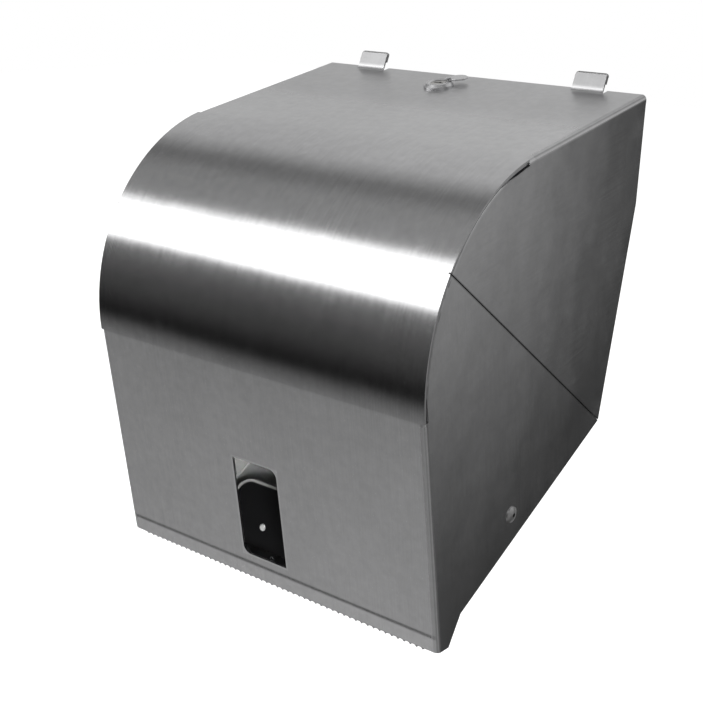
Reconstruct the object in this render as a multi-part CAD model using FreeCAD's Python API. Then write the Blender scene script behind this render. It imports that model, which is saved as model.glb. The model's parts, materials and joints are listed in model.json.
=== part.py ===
"""Lockable roll towel dispenser: a folded steel hood that tips forward off a wall chassis.

Lengths are in millimetres. X runs to the right, Z runs up, and the wall is the plane Y = 0,
with the hood on its negative side. The origin is the centre of the four wall screws.
In the side view a place is written as (forward, up), where forward is the distance from the wall.
"""
import FreeCAD, Part
import math
import os

# Hood: overall sizes, read from the side view
HOOD_WIDTH = 240.0
SHEET = 1.2
BEND = 3.0
WALL_GAP = 0.5
TOP_EDGE_UP = 92.0
TOP_SLOPE = 11.0
TOP_LENGTH = 124.0
ARC_RADIUS = 110.0
FRONT_RECEDE = 10.0
FRONT_LENGTH = 139.0

# Cheek outline: each place is measured from the top rear edge, forward and down
CHEEK_STRAIGHT = 64.0
CHEEK_LOW_REAR = (22.5, 195.5)
CHEEK_SLOPE_END = (164.8, 271.0)
CHEEK_NOSE = (174.8, 287.8)
SEAM_ARC_ANGLE = 47.4
SEAM_GAP = 0.6
STRAP_WIDTH = 14.0

# The bend's free edge over the cheeks: where it runs, and the slits that widen at its two ends
FREE_EDGE = (3.0, 88.0)
TOP_SLIT = (3.0, 18.0, 1.8)
FRONT_SLIT = (88.0, 80.5, 1.6)

# Rear tabs that stand on the hood's top edge
TAB_CENTRES = (-79.0, 84.0)
TAB_WIDTH = 21.0
TAB_HEIGHT = 10.2
TAB_BEND = 4.0
TAB_LEAN = 22.0
TAB_CORNER_R = 2.0
HEM_GAP = 0.2

# Window and tear edge on the front panel, measured down from the end of the arc
WINDOW_LEFT = -20.5
WINDOW_RIGHT = 12.8
WINDOW_TOP = 57.5
WINDOW_BOTTOM = 122.8
WINDOW_RADIUS = 5.0
CREASE_ABOVE_EDGE = 10.0
CREASE_ENDS = (-118.0, 116.5)
CREASE_DEPTH = 0.4
BLADE_SHEET = 0.8
BLADE_HALF = 111.0
BLADE_OVERLAP = 14.5
TOOTH_PITCH = 4.2
TOOTH_DEPTH = 2.2
TOOTH_PROUD = 2.4
BLADE_RETURN = 8.0

# Pivot rivets, washers and bushes
PIVOT = (118.4, 227.1)
RIVET_R = 2.4
RIVET_HEAD_R = 4.75
RIVET_HEAD_H = 1.8
RIVET_BORE_R = 1.2
RIVET_BULB_FACE = 112.6
WASHER = 0.6
WASHER_R = 5.5
BUSH_COLLAR_R = 6.2
FIT = 0.05
GAP = 0.3

# Cam lock on the top panel
LOCK_X = -9.0
LOCK_SETBACK = 27.0
LOCK_HEAD_R = 9.5
LOCK_HEAD_H = 3.0
BARREL_R = 8.0
BARREL_LENGTH = 20.0
PLUG_R = 5.0
SHUTTER_PIN_OFFSET = 6.6
SHUTTER_R = 5.8
SHUTTER_OPEN_ANGLE = 51.6
CAM_LENGTH = 19.0
CAM_SHEET = 2.0
CAM_END_R = 6.0
CAM_BOSS_R = 8.5
CAM_SQUARE = 6.0
LOCK_WASHER = 0.8
LOCK_NUT_HEIGHT = 4.0
LOCK_NUT_FLATS = 11.0

# Chassis against the wall
PLATE = 1.2
SCREW_SPACING_X = 150.0
SCREW_SPACING_Z = 110.0
SCREW_HOLE_R = 3.0
PLATE_TOP_GAP = 3.0
BAND_HALF = 115.0
PLATE_HALF_TOP = 110.0
PLATE_HALF_LOW = 98.0
PLATE_DOWN = 184.0
PLATE_CORNER = 6.0
PLATE_FLANGE = 12.0
PLATE_FLANGE_HALF = 100.0
BUSH_SLEEVE_R = 3.6
PIVOT_ARM_END_R = 12.0
PIVOT_ARM_SHOULDER = (24.0, 14.0)
SLOT_TOP = (24.0, 44.0)
SLOT_FOOT = (88.0, -76.0)
SLOT_TOP_R = 13.0
SLOT_FOOT_R = 7.0
STRIKE_FORWARD = 16.5
STRIKE_FLANGE = 26.0
STRIKE_HALF = 15.0

# Roll arms and hubs
ROLL_AXIS = (100.5, -36.0)
ROLL_WIDTH = 180.0
ARM_SHEET = 1.5
ARM_FACE = 96.0
ARM_DEPTH = 9.0
ARM_TIP_DEPTH = 6.0
ARM_KNEE = 34.0
ARM_FOOT_HALF = 47.0
ARM_FOOT_REACH = 18.0
ARM_ROOT_HALF = 24.0
ARM_END_R = 19.0
CORE_PLUG_R = 18.0
HUB_FLANGE_R = 23.0
AXLE_R = 4.0
AXLE_TIP = 81.5
HUB_CLIP_FACE = 83.0
HUB_CLIP_THICK = 1.1
HUB_NOSE_FACE = 84.4
HUB_BOSS_R = 7.0
HUB_WALL = 2.4
PLUG_STRAIGHT = 7.0
PLUG_NOSE = 12.0
HINGE_X = 101.5
HINGE_FORWARD = 10.0
HINGE_PIN_R = 2.0
WIRE_R = 0.5
COIL_R = 2.9
COIL_TURNS = 10

# Press-in studs on the wall plate, as (across, up)
STUD_R = 2.5
STUD_LENGTH = 9.0
STRIKE_STUDS = tuple((LOCK_X + step, 54.0) for step in (-9.0, 9.0))
ARM_STUDS = tuple((side * 86.0, ROLL_AXIS[1] + step) for side in (-1, 1) for step in (-40.0, 40.0))
GUIDE_STUDS = tuple((across, -74.0) for across in (-60.0, 0.0, 60.0))
ALL_STUDS = STRIKE_STUDS + ARM_STUDS + GUIDE_STUDS

# Paper guide under the roll: a folded shelf, and a moulded fence riveted to its front lip
GUIDE_SHEET = 1.2
GUIDE_HALF = 97.0
GUIDE_INSET = 6.0
GUIDE_NOSE_R = 3.0
GUIDE_LIP = 12.0
GUIDE_FLANGE_HALF = 75.0
GUIDE_FLANGE_TOP = -62.0
GUIDE_BEADS = (-72.0, -36.0, 0.0, 36.0, 72.0)
BEAD_HALF = 3.0
BEAD_LIFT = 1.5
FENCE_TOP = (161.5, -146.0)
FENCE_LEAN = 10.0
FENCE_HEIGHT = 41.5
FENCE_SHEET = 2.4
FENCE_HALF = 52.0
FENCE_CORNER_R = 16.0
FENCE_RIM = 2.2
FENCE_RIM_PROUD = 0.7
FENCE_RIVET_X = 26.0
FENCE_RIVET_DOWN = 27.5
FENCE_RIVET_R = 1.2

top_sin = math.sin(math.radians(TOP_SLOPE))
top_cos = math.cos(math.radians(TOP_SLOPE))
front_sin = math.sin(math.radians(FRONT_RECEDE))
front_cos = math.cos(math.radians(FRONT_RECEDE))
half_width = HOOD_WIDTH / 2
inner_half = half_width - SHEET


def at(x, forward, up):
    return FreeCAD.Vector(x, -forward, up)


def plus(place, direction, distance):
    return (place[0] + direction[0] * distance, place[1] + direction[1] * distance)


def crossing(first, first_along, second, second_along):
    """The place where two lines of the side view meet."""
    turn = first_along[0] * second_along[1] - first_along[1] * second_along[0]
    gap = (second[0] - first[0], second[1] - first[1])
    return plus(first, first_along, (gap[0] * second_along[1] - gap[1] * second_along[0]) / turn)


def from_top_edge(forward, down):
    return (WALL_GAP + forward, TOP_EDGE_UP - down)


# Places on the hood's outer side profile
top_along = (top_cos, -top_sin)
top_out = (top_sin, top_cos)
front_along = (-front_sin, -front_cos)
front_out = (front_cos, -front_sin)
top_rear = from_top_edge(0, 0)
arc_start = plus(top_rear, top_along, TOP_LENGTH)
arc_centre = plus(arc_start, top_out, -ARC_RADIUS)
arc_end = plus(arc_centre, front_out, ARC_RADIUS)
front_low = plus(arc_end, front_along, FRONT_LENGTH)
cheek_kink = from_top_edge(0, CHEEK_STRAIGHT)
cheek_low = from_top_edge(*CHEEK_LOW_REAR)
slope_end = from_top_edge(*CHEEK_SLOPE_END)
nose_low = from_top_edge(*CHEEK_NOSE)
pivot = from_top_edge(*PIVOT)


def on_arc(radius, angle):
    """A place on a circle about the arc's centre, angle in degrees from the top tangent point."""
    turn = math.radians(90 - TOP_SLOPE - angle)
    return (arc_centre[0] + radius * math.cos(turn), arc_centre[1] + radius * math.sin(turn))


arc_sweep = 90.0 - TOP_SLOPE + FRONT_RECEDE


def side_face(x, start, steps):
    """A flat face in the plane X = x. A step is a place to reach by a line, or (middle, end) of an arc."""
    edges = []
    here = start
    for step in steps:
        if isinstance(step[0], tuple):
            middle, there = step
            edges.append(Part.Arc(at(x, *here), at(x, *middle), at(x, *there)).toShape())
        else:
            there = step
            edges.append(Part.LineSegment(at(x, *here), at(x, *there)).toShape())
        here = there
    if math.dist(here, start) > 1e-6:
        edges.append(Part.LineSegment(at(x, *here), at(x, *start)).toShape())
    return Part.Face(Part.Wire(edges))


def side_prism(x_from, x_to, start, steps):
    return side_face(x_from, start, steps).extrude(FreeCAD.Vector(x_to - x_from, 0, 0))


def turned(axis, profile, side=1):
    """A solid of revolution about an X axis. The profile's places are (x, radius)."""
    points = [at(side * x, axis[0], axis[1] + radius) for x, radius in profile]
    face = Part.Face(Part.makePolygon(points + points[:1]))
    return face.revolve(at(0, *axis), FreeCAD.Vector(1, 0, 0), 360)


def rod(x_from, x_to, axis, radius):
    low = min(x_from, x_to)
    return Part.makeCylinder(radius, abs(x_to - x_from), at(low, *axis), FreeCAD.Vector(1, 0, 0))


def upright(x, forward, low, high, radius):
    return Part.makeCylinder(radius, high - low, at(x, forward, low))


def through_wall(x, up, forward_from, forward_to, radius):
    start = at(x, forward_from, up)
    return Part.makeCylinder(radius, forward_to - forward_from, start, FreeCAD.Vector(0, -1, 0))


def block(x_from, x_to, forward_from, forward_to, up_from, up_to):
    corner = at(x_from, forward_to, up_from)
    return Part.makeBox(x_to - x_from, forward_to - forward_from, up_to - up_from, corner)


def hexagon(radius_across_flats, height, x, up, forward):
    """A hexagonal prism that stands off the wall plate."""
    corner = radius_across_flats / math.cos(math.radians(30))
    points = []
    for k in range(6):
        turn = math.radians(60 * k)
        points.append(at(x + corner * math.cos(turn), forward, up + corner * math.sin(turn)))
    face = Part.Face(Part.makePolygon(points + points[:1]))
    return face.extrude(FreeCAD.Vector(0, -height, 0))


def front_place(x, down, depth):
    """A place on the front panel: down from the arc's end, and inward from its outer face."""
    spot = plus(plus(arc_end, front_along, down), front_out, -depth)
    return at(x, *spot)


def front_patch(outline, depth, thickness):
    """A plate parallel to the front panel. The outline's places are (x, down)."""
    points = [front_place(x, down, depth) for x, down in outline]
    face = Part.Face(Part.makePolygon(points + points[:1]))
    inward = FreeCAD.Vector(0, front_out[0], -front_out[1])
    return face.extrude(inward * thickness)


def on_top(shape, x, setback):
    """Move a shape from its own frame, Z outward and Y to the rear, onto the top panel."""
    spot = plus(top_rear, top_along, setback)
    shape.rotate(FreeCAD.Vector(0, 0, 0), FreeCAD.Vector(1, 0, 0), TOP_SLOPE)
    shape.translate(at(x, *spot))
    return shape


def at_lock(shape):
    return on_top(shape, LOCK_X, LOCK_SETBACK)


def sleeve(inner, outer, low, high):
    """A tube along Z in the lock's own frame."""
    tube = Part.makeCylinder(outer, high - low, FreeCAD.Vector(0, 0, low))
    return tube.cut(Part.makeCylinder(inner, high - low + 2, FreeCAD.Vector(0, 0, low - 1)))


# Hood

def wrap_steps(inset, rear, low):
    """The hood's top, arc and front as one line, inset by a sheet's thickness."""
    start = plus(plus(top_rear, top_out, -inset), top_along, -rear)
    straight = plus(arc_start, top_out, -inset)
    radius = ARC_RADIUS - inset
    front = plus(arc_end, front_out, -inset)
    end = plus(plus(front_low, front_out, -inset), front_along, low)
    return start, [straight, (on_arc(radius, arc_sweep / 2), front), end]


def side_edges(solid, x, inset):
    """The wrap's long edges on one side, found by their distance from the top, arc and front."""
    wanted = []
    middles = (
        plus(plus(top_rear, top_along, TOP_LENGTH / 2), top_out, -inset),
        on_arc(ARC_RADIUS - inset, arc_sweep / 2),
        plus(plus(arc_end, front_along, FRONT_LENGTH / 2), front_out, -inset),
    )
    for edge in solid.Edges:
        if abs(edge.BoundBox.XMin - x) > 0.01 or abs(edge.BoundBox.XMax - x) > 0.01:
            continue
        for middle in middles:
            if edge.distToShape(Part.Vertex(at(x, *middle)))[0] < 0.01:
                wanted.append(edge)
    return wanted


def hood_block(half, inset, radius, outline_end):
    """The hood's solid block, with its wrap edges rounded."""
    start, steps = wrap_steps(inset, *outline_end[0])
    solid = side_prism(-half, half, start, steps + outline_end[1])
    for x in (-half, half):
        solid = solid.makeFillet(radius, side_edges(solid, x, inset))
    return solid


def seam_line():
    """The diagonal seam's two ends: on the arc, and at the cheek's lower rear corner."""
    return on_arc(ARC_RADIUS - SHEET, SEAM_ARC_ANGLE), cheek_low


def seam_band(offset_from, offset_to, trim_arc, trim_rear):
    """A strip along the diagonal seam, as four places."""
    upper, lower = seam_line()
    length = math.dist(upper, lower)
    along = ((lower[0] - upper[0]) / length, (lower[1] - upper[1]) / length)
    across = (along[1], -along[0])
    first = plus(upper, along, trim_arc)
    last = plus(lower, along, -trim_rear)
    return [plus(first, across, offset_from), plus(last, across, offset_from),
            plus(last, across, offset_to), plus(first, across, offset_to)]


def rear_tab(centre):
    """A tab bent up from the top panel's rear edge, leaning back, hemmed over at its top."""
    lean = math.radians(TAB_LEAN)
    rise = (-math.sin(lean), math.cos(lean))
    face = (math.cos(lean), math.sin(lean))
    outer_hem = SHEET + HEM_GAP / 2
    inner_hem = HEM_GAP / 2
    hem_centre = (WALL_GAP + outer_hem, TOP_EDGE_UP + TAB_HEIGHT - outer_hem)
    front_top = plus(hem_centre, face, outer_hem)
    rear_top = plus(hem_centre, face, -outer_hem)
    leaf_end = plus(rear_top, rise, -TAB_HEIGHT / 2)
    bend_centre = crossing(plus(top_rear, top_out, TAB_BEND), top_along, plus(front_top, face, TAB_BEND), rise)
    middle = math.radians(180 + (90 - TOP_SLOPE + TAB_LEAN) / 2)
    half_turn = (math.cos(middle), math.sin(middle))
    inner_foot = plus(bend_centre, top_out, -TAB_BEND)
    outer_foot = plus(bend_centre, top_out, -TAB_BEND - SHEET)
    steps = [
        (plus(bend_centre, half_turn, TAB_BEND), plus(bend_centre, face, -TAB_BEND)),
        front_top,
        (plus(hem_centre, rise, outer_hem), rear_top),
        leaf_end,
        plus(leaf_end, face, SHEET),
        plus(hem_centre, face, -inner_hem),
        (plus(hem_centre, rise, inner_hem), plus(hem_centre, face, inner_hem)),
        plus(bend_centre, face, -TAB_BEND - SHEET),
        (plus(bend_centre, half_turn, TAB_BEND + SHEET), outer_foot),
    ]
    low = centre - TAB_WIDTH / 2
    band = side_prism(low, low + TAB_WIDTH, inner_foot, steps)
    cleared = side_prism(low, low + TAB_WIDTH, plus(inner_foot, top_out, 1.0), [
        plus(outer_foot, top_out, -1.0),
        (-5.0, outer_foot[1] - 3.0),
        (-5.0, TOP_EDGE_UP + 3.0)])
    return band.common(tab_front(centre)), cleared


def tab_front(centre):
    """A tab's outline from the front, with its two top corners round, as a deep block."""
    half, corner = TAB_WIDTH / 2, TAB_CORNER_R
    top = TOP_EDGE_UP + TAB_HEIGHT
    foot = TOP_EDGE_UP - TAB_HEIGHT
    bow = corner * (1 - math.sqrt(0.5))
    left, right = centre - half, centre + half
    places = [(left, foot), (left, top - corner), (left + bow, top - bow), (left + corner, top),
              (right - corner, top), (right - bow, top - bow), (right, top - corner), (right, foot)]
    spots = [at(x, -5.0, up) for x, up in places]
    edges = [
        Part.LineSegment(spots[0], spots[1]).toShape(),
        Part.Arc(spots[1], spots[2], spots[3]).toShape(),
        Part.LineSegment(spots[3], spots[4]).toShape(),
        Part.Arc(spots[4], spots[5], spots[6]).toShape(),
        Part.LineSegment(spots[6], spots[7]).toShape(),
        Part.LineSegment(spots[7], spots[0]).toShape(),
    ]
    return Part.Face(Part.Wire(edges)).extrude(FreeCAD.Vector(0, -40.0, 0))


def window_cut():
    """The viewing slot: two sharp corners and two round ones."""
    def corner(x, down, dx, ddown):
        """The ends and the middle of a round corner."""
        bow = WINDOW_RADIUS * (1 - math.sqrt(0.5))
        first = (x, down + ddown * WINDOW_RADIUS)
        middle = (x + dx * bow, down + ddown * bow)
        last = (x + dx * WINDOW_RADIUS, down)
        return [front_place(px, pd, -1.0) for px, pd in (first, middle, last)]

    right = corner(WINDOW_RIGHT, WINDOW_TOP, -1, 1)
    left = corner(WINDOW_LEFT, WINDOW_BOTTOM, 1, -1)
    top_left = front_place(WINDOW_LEFT, WINDOW_TOP, -1.0)
    low_right = front_place(WINDOW_RIGHT, WINDOW_BOTTOM, -1.0)
    edges = [
        Part.LineSegment(top_left, right[2]).toShape(),
        Part.Arc(right[2], right[1], right[0]).toShape(),
        Part.LineSegment(right[0], low_right).toShape(),
        Part.LineSegment(low_right, left[2]).toShape(),
        Part.Arc(left[2], left[1], left[0]).toShape(),
        Part.LineSegment(left[0], top_left).toShape(),
    ]
    inward = FreeCAD.Vector(0, front_out[0], -front_out[1])
    return Part.Face(Part.Wire(edges)).extrude(inward * (SHEET + 3.0))


def hood_shell():
    """One folded sheet: top, rolled arc and front, with two cheek flaps bent in on each side."""
    outer = hood_block(half_width, 0.0, BEND,
                       ((0.0, 0.0), [nose_low, slope_end, cheek_low, cheek_kink]))
    overrun = 20.0
    well_below = nose_low[1] - 3 * overrun
    beyond = [(front_low[0], well_below), (-2 * overrun, well_below), (-2 * overrun, top_rear[1])]
    inner = hood_block(inner_half, SHEET, BEND - SHEET, ((overrun, overrun), beyond))
    shell = outer.cut(inner)

    arc_inner = ARC_RADIUS - SHEET
    flap_rim = arc_inner - SEAM_GAP
    past_face = 2.0
    strap_trim = (5.0, 8.0)
    edge_from, edge_to = FREE_EDGE
    halfway = (edge_from + edge_to) / 2
    for side in (-1, 1):
        ring = side_prism(side * inner_half, side * (half_width + past_face), on_arc(flap_rim, edge_from), [
            (on_arc(flap_rim, halfway), on_arc(flap_rim, edge_to)),
            on_arc(ARC_RADIUS + past_face, edge_to),
            (on_arc(ARC_RADIUS + past_face, halfway), on_arc(ARC_RADIUS + past_face, edge_from))])
        shell = shell.cut(ring)
    band = side_prism(-half_width, half_width, on_arc(arc_inner, edge_from), [
        (on_arc(arc_inner, halfway), on_arc(arc_inner, edge_to)),
        on_arc(ARC_RADIUS, edge_to),
        (on_arc(ARC_RADIUS, halfway), on_arc(ARC_RADIUS, edge_from))])
    shell = shell.fuse(band)

    for side in (-1, 1):
        far = side * (half_width + past_face)
        for wide_end, thin_end, width in (TOP_SLIT, FRONT_SLIT):
            between = (wide_end + thin_end) / 2
            shell = shell.cut(side_prism(side * inner_half, far, on_arc(arc_inner, wide_end), [
                on_arc(flap_rim - width, wide_end), on_arc(flap_rim, thin_end),
                on_arc(arc_inner, thin_end), (on_arc(arc_inner, between), on_arc(arc_inner, wide_end))]))
        seam = seam_band(-SEAM_GAP / 2, SEAM_GAP / 2, -3.0, -3.0)
        shell = shell.cut(side_prism(side * inner_half, far, seam[0], seam[1:]))
        strap = seam_band(-STRAP_WIDTH / 2, STRAP_WIDTH / 2, *strap_trim)
        inner_face = side * (inner_half - SHEET)
        shell = shell.fuse(side_prism(inner_face, side * inner_half, strap[0], strap[1:]))
        hole = rod(side * (inner_half - 1), side * (half_width + 1), pivot, RIVET_R + FIT)
        shell = shell.cut(hole)

    shell = shell.cut(window_cut())
    crease = FRONT_LENGTH - CREASE_ABOVE_EDGE
    left, right = CREASE_ENDS
    groove = [front_place(left, crease - CREASE_DEPTH * 1.5, -0.01),
              front_place(left, crease, CREASE_DEPTH),
              front_place(left, crease + CREASE_DEPTH * 1.5, -0.01)]
    groove_face = Part.Face(Part.makePolygon(groove + groove[:1]))
    shell = shell.cut(groove_face.extrude(FreeCAD.Vector(right - left, 0, 0)))
    for centre in TAB_CENTRES:
        tab, cleared = rear_tab(centre)
        shell = shell.cut(cleared).fuse(tab)
    lock_hole = Part.makeCylinder(BARREL_R + FIT, SHEET + 4, FreeCAD.Vector(0, 0, -SHEET - 2))
    shell = shell.cut(at_lock(lock_hole))
    return shell.removeSplitter()


def tear_blade():
    """A serrated strip inside the front panel: teeth just below the edge, top folded in to stiffen it."""
    teeth = int(2 * BLADE_HALF / TOOTH_PITCH)
    pitch = 2 * BLADE_HALF / teeth
    tip = FRONT_LENGTH + TOOTH_PROUD
    outline = [(-BLADE_HALF, FRONT_LENGTH - BLADE_OVERLAP)]
    for k in range(teeth):
        outline.append((-BLADE_HALF + pitch * k, tip - TOOTH_DEPTH))
        outline.append((-BLADE_HALF + pitch * (k + 0.5), tip))
    outline.append((BLADE_HALF, tip - TOOTH_DEPTH))
    outline.append((BLADE_HALF, FRONT_LENGTH - BLADE_OVERLAP))
    strip = front_patch(outline, SHEET, BLADE_SHEET)
    high = FRONT_LENGTH - BLADE_OVERLAP
    low = high + BLADE_SHEET
    fold = front_patch([(-BLADE_HALF, high), (-BLADE_HALF, low), (BLADE_HALF, low), (BLADE_HALF, high)],
                       SHEET, BLADE_RETURN)
    return strip.fuse(fold).removeSplitter()


# Pivots

def pivot_rivet(side):
    """A blind rivet: domed head outside, hollow body, and the bulb that formed inside."""
    head = half_width + RIVET_HEAD_H
    bulb = RIVET_BULB_FACE
    hollow = RIVET_BORE_R
    return turned(pivot, [
        (half_width, RIVET_HEAD_R), (half_width + 0.5, RIVET_HEAD_R), (head - 0.35, RIVET_HEAD_R * 0.62),
        (head, RIVET_HEAD_R * 0.32), (head, hollow), (bulb - 1.9, hollow), (bulb - 2.4, RIVET_R * 0.8),
        (bulb - 1.9, RIVET_R * 1.35), (bulb - 0.7, RIVET_R * 1.55), (bulb, RIVET_R * 1.3),
        (bulb, RIVET_R), (half_width, RIVET_R)], side)


def pivot_washer(side):
    bore = RIVET_R + FIT
    seat = RIVET_BULB_FACE + WASHER
    return turned(pivot, [
        (RIVET_BULB_FACE, bore), (seat, bore), (seat, WASHER_R), (RIVET_BULB_FACE, WASHER_R)], side)


def pivot_bush(side):
    """A flanged nylon bush: its sleeve sits in the chassis arm, its flange spaces the cheek."""
    bore = RIVET_R + FIT
    tip = RIVET_BULB_FACE + WASHER + GAP
    face = inner_half - GAP
    return turned(pivot, [
        (tip, bore), (face, bore), (face, BUSH_COLLAR_R - 1.0), (BAND_HALF + 2.2, BUSH_COLLAR_R),
        (BAND_HALF, BUSH_COLLAR_R), (BAND_HALF, BUSH_SLEEVE_R), (tip, BUSH_SLEEVE_R)], side)


# Cam lock

def lock_barrel():
    """The lock's fixed body: a round head with a bevelled rim over a plain barrel with two flats."""
    profile = [(PLUG_R + FIT, LOCK_HEAD_H - 0.5), (PLUG_R + 0.7, LOCK_HEAD_H),
               (LOCK_HEAD_R - 1.4, LOCK_HEAD_H), (LOCK_HEAD_R, LOCK_HEAD_H - 1.6),
               (LOCK_HEAD_R, 0.0), (BARREL_R, 0.0),
               (BARREL_R, -BARREL_LENGTH), (PLUG_R + FIT, -BARREL_LENGTH)]
    points = [FreeCAD.Vector(radius, 0, up) for radius, up in profile]
    face = Part.Face(Part.makePolygon(points + points[:1]))
    body = face.revolve(FreeCAD.Vector(0, 0, 0), FreeCAD.Vector(0, 0, 1), 360)
    for side in (-1, 1):
        flat = Part.makeBox(4, 30, BARREL_LENGTH - 6.6)
        flat.translate(FreeCAD.Vector(side * 8.8 - 2, -15, -BARREL_LENGTH - 0.01))
        body = body.cut(flat)
    turn = math.radians(SHUTTER_OPEN_ANGLE)
    pin = FreeCAD.Vector(SHUTTER_PIN_OFFSET * math.cos(turn), SHUTTER_PIN_OFFSET * math.sin(turn), 1.5)
    return at_lock(body.cut(Part.makeCylinder(0.75 + FIT, 5, pin)))


def lock_plug():
    """The turning core: key slot in its face, square tang for the cam at its foot."""
    face_up = LOCK_HEAD_H - 0.6
    foot = -BARREL_LENGTH - GAP
    core = Part.makeCylinder(PLUG_R, face_up - foot, FreeCAD.Vector(0, 0, foot))
    slot = Part.makeBox(6.6, 1.3, 9.0)
    slot.translate(FreeCAD.Vector(-3.3, -0.65, face_up - 8.0))
    ward = Part.makeBox(1.2, 2.2, 9.0)
    ward.translate(FreeCAD.Vector(-0.2, -0.2, face_up - 8.0))
    tang = Part.makeBox(CAM_SQUARE, CAM_SQUARE, CAM_SHEET)
    tang.translate(FreeCAD.Vector(-CAM_SQUARE / 2, -CAM_SQUARE / 2, foot - CAM_SHEET))
    core = core.cut(slot).cut(ward).fuse(tang)
    thread = Part.makeCylinder(1.6, 9.0, FreeCAD.Vector(0, 0, foot - CAM_SHEET - 1))
    return at_lock(core.cut(thread).removeSplitter())


def lock_cam():
    """A flat cam that points sideways when unlocked and under the strike when turned to the rear."""
    foot = -BARREL_LENGTH - GAP
    level = foot - CAM_SHEET
    reach = CAM_LENGTH - CAM_END_R
    square = CAM_SQUARE + 2 * FIT
    boss = Part.makeCylinder(CAM_BOSS_R, CAM_SHEET, FreeCAD.Vector(0, 0, level))
    tongue = Part.makeBox(reach, 2 * CAM_END_R, CAM_SHEET)
    tongue.translate(FreeCAD.Vector(0, -CAM_END_R, level))
    tip = Part.makeCylinder(CAM_END_R, CAM_SHEET, FreeCAD.Vector(reach, 0, level))
    hole = Part.makeBox(square, square, CAM_SHEET + 2)
    hole.translate(FreeCAD.Vector(-square / 2, -square / 2, level - 1))
    return at_lock(boss.fuse(tongue).fuse(tip).cut(hole).removeSplitter())


def cam_washer():
    level = -BARREL_LENGTH - GAP - CAM_SHEET
    return at_lock(sleeve(1.7, 5.0, level - LOCK_WASHER, level))


def cam_screw():
    """A pan-head screw with a cross slot, up into the plug's foot."""
    level = -BARREL_LENGTH - GAP - CAM_SHEET - LOCK_WASHER
    shank = Part.makeCylinder(1.55, 8.0, FreeCAD.Vector(0, 0, level))
    head = Part.makeCylinder(3.6, 2.0, FreeCAD.Vector(0, 0, level - 2.0))
    head = head.makeFillet(0.9, [e for e in head.Edges if abs(e.BoundBox.ZMax - (level - 2.0)) < 0.01])
    for turn in (0, 90):
        slot = Part.makeBox(4.4, 0.8, 1.2)
        slot.translate(FreeCAD.Vector(-2.2, -0.4, level - 2.2))
        slot.rotate(FreeCAD.Vector(0, 0, 0), FreeCAD.Vector(0, 0, 1), turn)
        head = head.cut(slot)
    return at_lock(shank.fuse(head).removeSplitter())


def lock_washer():
    return at_lock(sleeve(BARREL_R + FIT, 10.5, -SHEET - LOCK_WASHER, -SHEET))


def lock_nut():
    """A thin hexagon nut that holds the barrel up against the top panel."""
    flats = LOCK_NUT_FLATS
    corner = flats / math.cos(math.radians(30))
    low = -SHEET - LOCK_WASHER - LOCK_NUT_HEIGHT
    turns = [math.radians(60 * k) for k in range(6)]
    points = [FreeCAD.Vector(corner * math.cos(turn), corner * math.sin(turn), low) for turn in turns]
    nut = Part.Face(Part.makePolygon(points + points[:1])).extrude(FreeCAD.Vector(0, 0, LOCK_NUT_HEIGHT))
    cone = Part.makeCone(corner + 2.2, flats - 0.4, 4.0, FreeCAD.Vector(0, 0, low + 1.4))
    top = Part.makeCylinder(corner + 3, 1.4, FreeCAD.Vector(0, 0, low))
    nut = nut.common(cone.fuse(top))
    bore = Part.makeCylinder(BARREL_R + FIT, 8, FreeCAD.Vector(0, 0, low - 2))
    return at_lock(nut.cut(bore))


def shutter_frame(shape):
    """Turn a piece drawn along X to the shutter's open direction, then onto the lock."""
    shape.rotate(FreeCAD.Vector(0, 0, 0), FreeCAD.Vector(0, 0, 1), SHUTTER_OPEN_ANGLE)
    return at_lock(shape)


def shutter_pin():
    low = LOCK_HEAD_H - 1.5
    rivet = Part.makeCylinder(0.75, LOCK_HEAD_H + 1.6 - low, FreeCAD.Vector(SHUTTER_PIN_OFFSET, 0, low))
    head = Part.makeCylinder(1.6, 0.6, FreeCAD.Vector(SHUTTER_PIN_OFFSET, 0, LOCK_HEAD_H + 1.3))
    return shutter_frame(rivet.fuse(head).removeSplitter())


def lock_shutter():
    """The swivel dust cover: a disc on a small lobe, open at rest, clear of the key slot."""
    level = LOCK_HEAD_H + 0.15
    centre = 2 * SHUTTER_PIN_OFFSET
    disc = Part.makeCylinder(SHUTTER_R, 1.0, FreeCAD.Vector(centre, 0, level))
    disc = disc.makeFillet(0.45, [e for e in disc.Edges if abs(e.BoundBox.ZMin - level - 1.0) < 0.01])
    lobe = Part.makeCylinder(2.3, 0.9, FreeCAD.Vector(SHUTTER_PIN_OFFSET, 0, level))
    neck = Part.makeBox(4.0, 4.6, 0.9)
    neck.translate(FreeCAD.Vector(SHUTTER_PIN_OFFSET, -2.3, level))
    hole = Part.makeCylinder(0.75 + FIT, 4, FreeCAD.Vector(SHUTTER_PIN_OFFSET, 0, level - 1))
    return shutter_frame(disc.fuse(lobe).fuse(neck).cut(hole).removeSplitter())


# Chassis

def pivot_arm_outline():
    """The arm that reaches from the wall to the pivot: two tangents round the pivot's end."""
    root_low = (0.0, cheek_kink[1] + 4.0)
    root_high = (0.0, TOP_EDGE_UP - 8.0)
    shoulder = (PIVOT_ARM_SHOULDER[0], TOP_EDGE_UP - PIVOT_ARM_SHOULDER[1])
    radius = PIVOT_ARM_END_R

    def tangent(place, sign):
        """The point where a line from the place touches the pivot end's circle."""
        away = math.dist(place, pivot)
        base = math.atan2(place[1] - pivot[1], place[0] - pivot[0])
        turn = base + sign * math.acos(radius / away)
        return plus(pivot, (math.cos(turn), math.sin(turn)), radius)

    low = tangent(root_low, 1)
    high = tangent(shoulder, -1)
    base = math.atan2(root_low[1] - pivot[1], root_low[0] - pivot[0])
    far = plus(pivot, (math.cos(base), math.sin(base)), -radius)
    return root_high, [root_low, low, (far, high), shoulder]


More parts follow.
